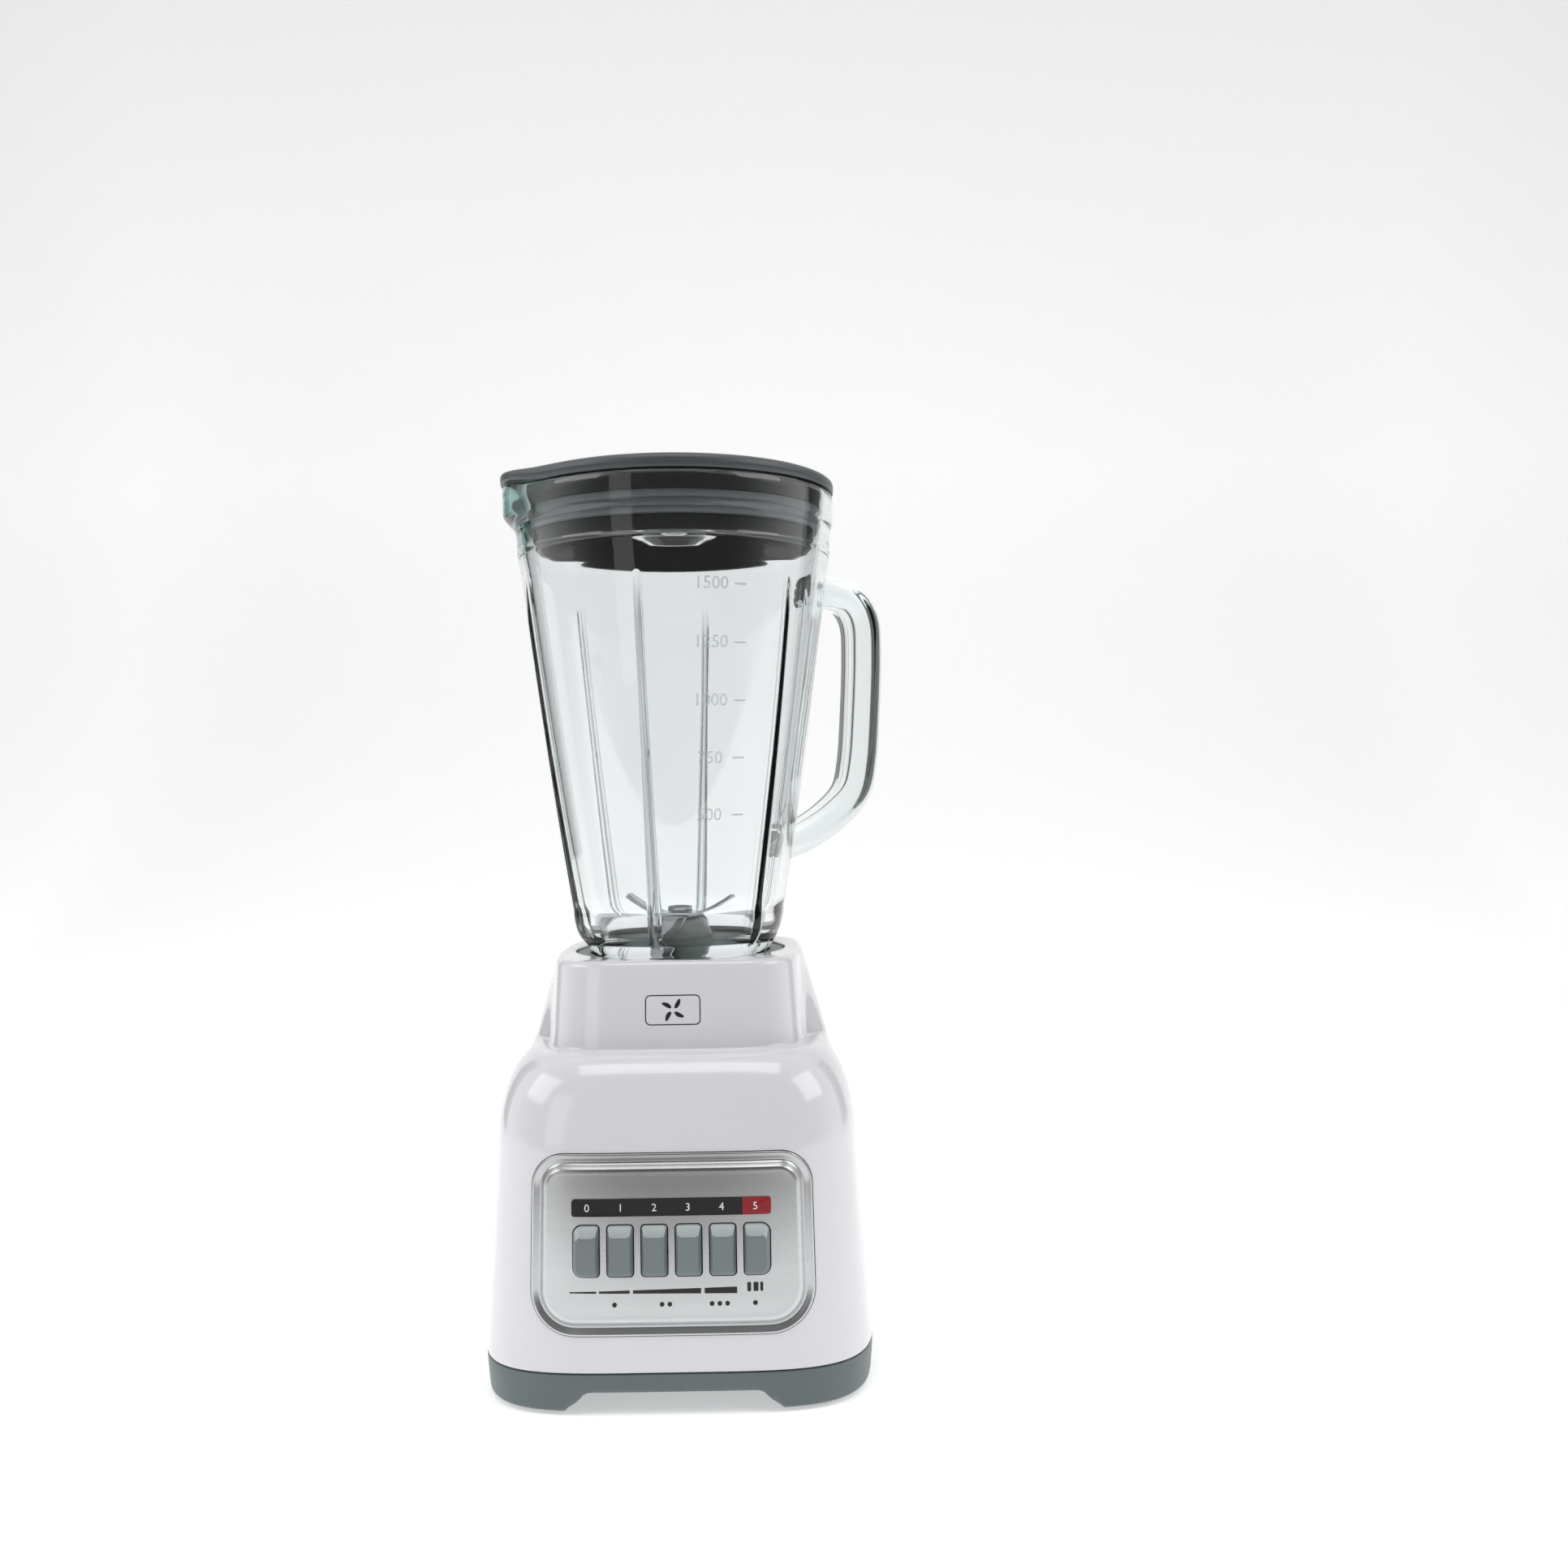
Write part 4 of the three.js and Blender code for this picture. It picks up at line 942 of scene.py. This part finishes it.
def multiplied(material, color, share=None):
    """The base colour times another colour, by a share that may vary over the surface."""
    nodes, links = material.node_tree.nodes, material.node_tree.links
    base = nodes["Principled BSDF"].inputs["Base Color"]
    blend = nodes.new("ShaderNodeMixRGB")
    blend.blend_type = "MULTIPLY"
    blend.inputs["Fac"].default_value = 1
    if share is not None:
        links.new(share, blend.inputs["Fac"])
    links.new(base.links[0].from_socket, blend.inputs["Color1"])
    links.new(color, blend.inputs["Color2"])
    links.new(blend.outputs["Color"], base)


def tinted(material, inner, outer, middle, near, far):
    """Painted shade: multiplies the base colour by inner near a point of the object, and by outer far from it.
    """
    nodes, links = material.node_tree.nodes, material.node_tree.links
    place = nodes.new("ShaderNodeTexCoord")
    away = nodes.new("ShaderNodeVectorMath")
    away.operation = "DISTANCE"
    away.inputs[1].default_value = middle
    links.new(place.outputs["Object"], away.inputs[0])
    share = nodes.new("ShaderNodeMapRange")
    share.interpolation_type = "SMOOTHSTEP"
    share.inputs["From Min"].default_value = near
    share.inputs["From Max"].default_value = far
    links.new(away.outputs["Value"], share.inputs["Value"])
    ramp = nodes.new("ShaderNodeMixRGB")
    ramp.inputs["Color1"].default_value = (*inner, 1)
    ramp.inputs["Color2"].default_value = (*outer, 1)
    links.new(share.outputs["Result"], ramp.inputs["Fac"])
    multiplied(material, ramp.outputs["Color"])


# The shaded band narrows, in degrees to each side of a rib, between two heights.
RIB_SHADE_HEIGHTS, RIB_SHADE_WIDTHS = (0.183, 0.29), (3.2, 1.35)
RIB_SHADE_START, RIB_SHADE_END = (0.181, 0.19), (0.322, 0.34)


def shade_ribs(material):
    """Painted shade: the steep sides of the ribs are painted darker than the wall, and their middle stays
    bright.
    """
    nodes, links = material.node_tree.nodes, material.node_tree.links

    def computed(operation, *values):
        node = nodes.new("ShaderNodeMath")
        node.operation = operation
        for socket, value in zip(node.inputs, values):
            if isinstance(value, (int, float)):
                socket.default_value = value
            else:
                links.new(value, socket)
        return node.outputs[0]

    def ranged(value, low, high, at_low, at_high):
        node = nodes.new("ShaderNodeMapRange")
        for key, number in zip(("From Min", "From Max", "To Min", "To Max"), (low, high, at_low, at_high)):
            node.inputs[key].default_value = number
        links.new(value, node.inputs["Value"])
        return node.outputs["Result"]

    place = nodes.new("ShaderNodeTexCoord")
    split = nodes.new("ShaderNodeSeparateXYZ")
    links.new(place.outputs["Object"], split.inputs["Vector"])
    x = computed("SUBTRACT", split.outputs["X"], AXIS.x)
    y = computed("SUBTRACT", split.outputs["Y"], AXIS.y)
    height = split.outputs["Z"]
    sixths = computed("DIVIDE", computed("SUBTRACT", computed("ARCTAN2", y, x), RIB), math.pi / 3)
    off_rib = computed("ABSOLUTE", computed("SUBTRACT", sixths, computed("ROUND", sixths)))
    degrees_off = computed("MULTIPLY", off_rib, 60)
    share = computed("DIVIDE", degrees_off, ranged(height, *RIB_SHADE_HEIGHTS, *RIB_SHADE_WIDTHS))
    ramp = nodes.new("ShaderNodeValToRGB")
    ramp.color_ramp.elements[0].color = (1, 1, 1, 1)
    ramp.color_ramp.elements[1].color = (1, 1, 1, 1)
    ramp.color_ramp.elements[1].position = 1
    for position, level in ((0.22, 0.96), (0.5, 0.46), (0.88, 0.46)):
        ramp.color_ramp.elements.new(position).color = (level * 0.92, level, level * 0.98, 1)
    links.new(share, ramp.inputs["Fac"])
    ends = computed("MULTIPLY", ranged(height, *RIB_SHADE_START, 0, 1), ranged(height, *RIB_SHADE_END, 1, 0))
    multiplied(material, ramp.outputs["Color"], ends)


shade_ribs(GLASS)
SPOUT_PLACE = world((76 * math.cos(SPOUT), 76 * math.sin(SPOUT), 375))
# Painted shade: the glass round the spout is painted a darker green, standing in for the shade of its thick
# glass.
tinted(GLASS, (0.27, 0.42, 0.39), (1, 1, 1), SPOUT_PLACE, 0.015, 0.028)
# Painted shade and light: the brushed panel is painted darker near the middle of its top edge and paler
# further from it.
tinted(PANEL, (0.62, 0.61, 0.61), (1.12, 1.13, 1.13), world((0, -80, 112)), 0.018, 0.075)


def paint(obj, material):
    obj.data.materials.clear()
    obj.data.materials.append(material)
    return obj


# ---------------------------------------------------------------- pieces

def piece(obj, material, body, slot, *nodes):
    """Paints a finished mesh, hangs it on the body that carries it, and hides the CAD nodes it stands for."""
    if material is not None:
        paint(obj, material)
    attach(obj, body)
    if nodes:
        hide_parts(*nodes)
    return obj


piece(make_housing(), WHITE, "motor_base", "white_gloss", "motor_housing")
piece(make_base(), BASE_GREY, "motor_base", "base_grey", "base_shell")
piece(make_panel(), PANEL, "motor_base", "panel_steel", "control_panel")
lit_facet_z = world((0, 0, 71)).z
for i in range(6):
    key = make_key(i)
    key.data.materials.append(KEY)
    key.data.materials.append(KEY_LIT_FACET)
    # Painted highlight: upward faces high on each cap take the paler facet colour, as if lit from above.
    for face in key.data.polygons:
        face.material_index = 1 if face.normal.z > 0.3 and face.center.z > lit_facet_z else 0
    piece(key, None, f"key_{i + 1}_body", "key_grey", f"key_{i + 1}")
    spring = piece(make_spring(i), SPRING, "motor_base", "steel", f"key_spring_{i + 1}")
    fixed_end = SPRING_LOW - SPRING_WIRE
    foot, head = (world(on_face(KEYS[i], KEY_MIDDLE, w, False)) for w in (fixed_end, 0))
    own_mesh(spring)

strip = flat_piece("label_plate", [(u, v + 15) for u, v in rounded(40, -3.4, 3.4, [1.1] * 4, 6, 30)], 2.3, 3)
strip.data.materials.append(LABEL)
strip.data.materials.append(LABEL_RED)
red_from = world((28.6, 0, 0))
cut = bmesh.new()
cut.from_mesh(strip.data)
bmesh.ops.bisect_plane(cut, geom=cut.verts[:] + cut.edges[:] + cut.faces[:],
                       plane_co=red_from, plane_no=(1, 0, 0))
for face in cut.faces:
    face.material_index = 1 if face.calc_center_median().x > red_from.x else 0
cut.to_mesh(strip.data)
cut.free()
piece(strip, None, "motor_base", "label_black", "label_strip")

black_prints, white_prints = prints()
piece(joined("neck_mark", badge()), PRINT_BLACK, "motor_base", "label_black")
piece(joined("speed_scale", black_prints), PRINT_BLACK, "motor_base", "label_black")
piece(joined("numerals", white_prints), PRINT_WHITE, "motor_base", "label_black")

piece(make_jar(), GLASS, "jar", "jar_glass", "glass_jar")
piece(joined("graduations", jar_marks()), MARK, "jar", "jar_glass")
piece(make_collar(), COLLAR, "jar", "collar_grey", "jar_collar")
piece(make_blade_base(), FLOOR_GREY, "jar", "dark_plastic", "blade_base")
piece(blade("upper_wings", 10.5, 25, 191.7, -16 * DEGREE), STEEL, "blades", "steel", "blade_upper")
piece(blade("lower_wings", -9, 24, 189.6, 68 * DEGREE), STEEL, "blades", "steel", "blade_lower")
piece(make_nut(), STEEL, "blades", "steel", "blade_nut")

lid = make_lid()
lid.data.materials.append(LID)
lid.data.materials.append(LID_UNDER)
under_lid = world((0, 0, 381.8)).z
for face in lid.data.polygons:
    face.material_index = 1 if face.center.z < under_lid else 0
piece(lid, None, "jar_lid", "lid_grey", "lid")
piece(make_seal(), SEAL, "jar_lid", "seal_grey", "lid_seal")
piece(make_cap(), CAP, "filler", "cap_clear", "filler_cap")
piece(make_gland(), DARK, "motor_base", "dark_plastic", "cord_gland")
pads = ((-PAD_X, -PAD_Y), (PAD_X, -PAD_Y), (PAD_X, PAD_Y), (-PAD_X, PAD_Y))
for i, (x, y) in enumerate(pads):
    piece(moved(make_pad(i + 1), x, y, 0), RUBBER, "motor_base", "rubber", f"foot_pad_{i + 1}")

# The CAD nodes that stay visible as they are, by the start of their names.
CARRIED = {
    "base_screw": PLAIN_STEEL, "switch_frame": DARK, "stator_core": IRON, "field_coil": COPPER,
    "motor_bracket": IRON, "bearing": PLAIN_STEEL, "motor_damper": RUBBER, "brush_holder": DARK,
    "carbon_brush": CARBON, "motor_shaft": PLAIN_STEEL, "armature_core": IRON, "commutator": COPPER,
    "cooling_fan": DARK, "drive_coupling": DARK, "jar_gasket": SEAL, "blade_bushing": BRONZE,
    "blade_shaft": STEEL, "driven_coupling": DARK,
}
for name, node in frame["nodes"].items():
    for start, material in CARRIED.items():
        if name.startswith(start):
            paint(node, material)


# ---------------------------------------------------------------- room, light and camera

def emitter(name, place, aim, width, height, strength):
    """A soft area light that neither the camera nor the glass shows as a shape."""
    data = bpy.data.lights.new(name, "AREA")
    data.shape = "RECTANGLE"
    data.size, data.size_y = width, height
    data.energy = strength
    obj = bpy.data.objects.new(name, data)
    bpy.context.collection.objects.link(obj)
    obj.location = place
    obj.rotation_euler = (Vector(aim) - Vector(place)).to_track_quat("-Z", "Y").to_euler()
    obj.visible_camera = False
    obj.visible_transmission = False
    return obj


def backdrop():
    """A pale floor that turns up into a wall behind the object."""
    front, bend, curve, top = -0.72, 1.2, 0.8, 4.0
    arc = [(bend + curve * math.sin(t), curve - curve * math.cos(t)) for t in steps(0, math.pi / 2, 16)]
    rows = [(front, 0.0)] + arc + [(bend + curve, top)]
    points = [(x, y, z) for y, z in rows for x in (-4, 4)]
    faces = [(2 * i, 2 * i + 1, 2 * i + 3, 2 * i + 2) for i in range(len(rows) - 1)]
    mesh = bpy.data.meshes.new("floor")
    mesh.from_pydata(points, [], faces)
    obj = link("floor", mesh)
    pale = finish("floor", (0.88, 0.88, 0.88), 0.7, grain=60, bump=0.01, mottle=0.004)
    shader = pale.node_tree.nodes["Principled BSDF"]
    shader.inputs["Emission Color"].default_value = (1, 1, 1, 1)
    shader.inputs["Emission Strength"].default_value = 0.42
    obj.data.materials.append(pale)
    return obj


def dark_card(name, x):
    """A dark card beside the picture. The camera doesn't show it by itself, but the glass and the gloss do."""
    near, far, top = 0.5, 1.15, 1.1
    mesh = bpy.data.meshes.new(name)
    mesh.from_pydata([(x, near, 0), (x, far, 0), (x, far, top), (x, near, top)], [], [(0, 1, 2, 3)])
    card = link(name, mesh)
    card.data.materials.append(finish(name, (0.02, 0.022, 0.022), 0.9, grain=100, bump=0.02, mottle=0.1))
    card.visible_camera = False
    return card


backdrop()
dark_card("card_left", -1.08)
dark_card("card_right", 1.16)

room = bpy.data.worlds.new("room")
room.use_nodes = True
sky = room.node_tree.nodes["Background"]
where = room.node_tree.nodes.new("ShaderNodeTexCoord")
split = room.node_tree.nodes.new("ShaderNodeSeparateXYZ")
dim = room.node_tree.nodes.new("ShaderNodeMapRange")
dim.interpolation_type = "SMOOTHSTEP"
dim.inputs["From Min"].default_value = -0.75
dim.inputs["From Max"].default_value = 0.35
dim.inputs["To Min"].default_value = 0.16
dim.inputs["To Max"].default_value = 1.0
room.node_tree.links.new(where.outputs["Generated"], split.inputs["Vector"])
room.node_tree.links.new(split.outputs["Y"], dim.inputs["Value"])
room.node_tree.links.new(dim.outputs["Result"], sky.inputs["Strength"])
sky.inputs["Color"].default_value = (1, 1, 1, 1)
bpy.context.scene.world = room

middle = Vector((0, 0, 0.16))
emitter("left window", (-1.3, -0.55, 1.15), middle, 1.0, 0.8, 6.5)
emitter("right window", (1.3, -0.55, 1.15), middle, 1.0, 0.8, 6.5)
emitter("top", (0, -0.45, 1.5), middle, 1.0, 0.6, 5)
emitter("left strip", (-0.8, -1.25, 0.5), (0, 0, 0.3), 0.4, 1.0, 1.3)

CAMERA_PLACE, CAMERA_ROLL = Vector((0.048, -0.6995, 0.2516)), -0.95 * DEGREE
camera_data = bpy.data.cameras.new("camera")
camera_data.sensor_width = 36
camera_data.lens = 35.4
camera_data.clip_start = 0.01
camera = bpy.data.objects.new("camera", camera_data)
bpy.context.collection.objects.link(camera)
camera.matrix_world = (Matrix.Translation(AXIS + CAMERA_PLACE)
                       @ Matrix.Rotation(math.pi / 2, 4, "X") @ Matrix.Rotation(CAMERA_ROLL, 4, "Z"))
bpy.context.scene.camera = camera
bpy.context.scene.view_settings.view_transform = "Standard"
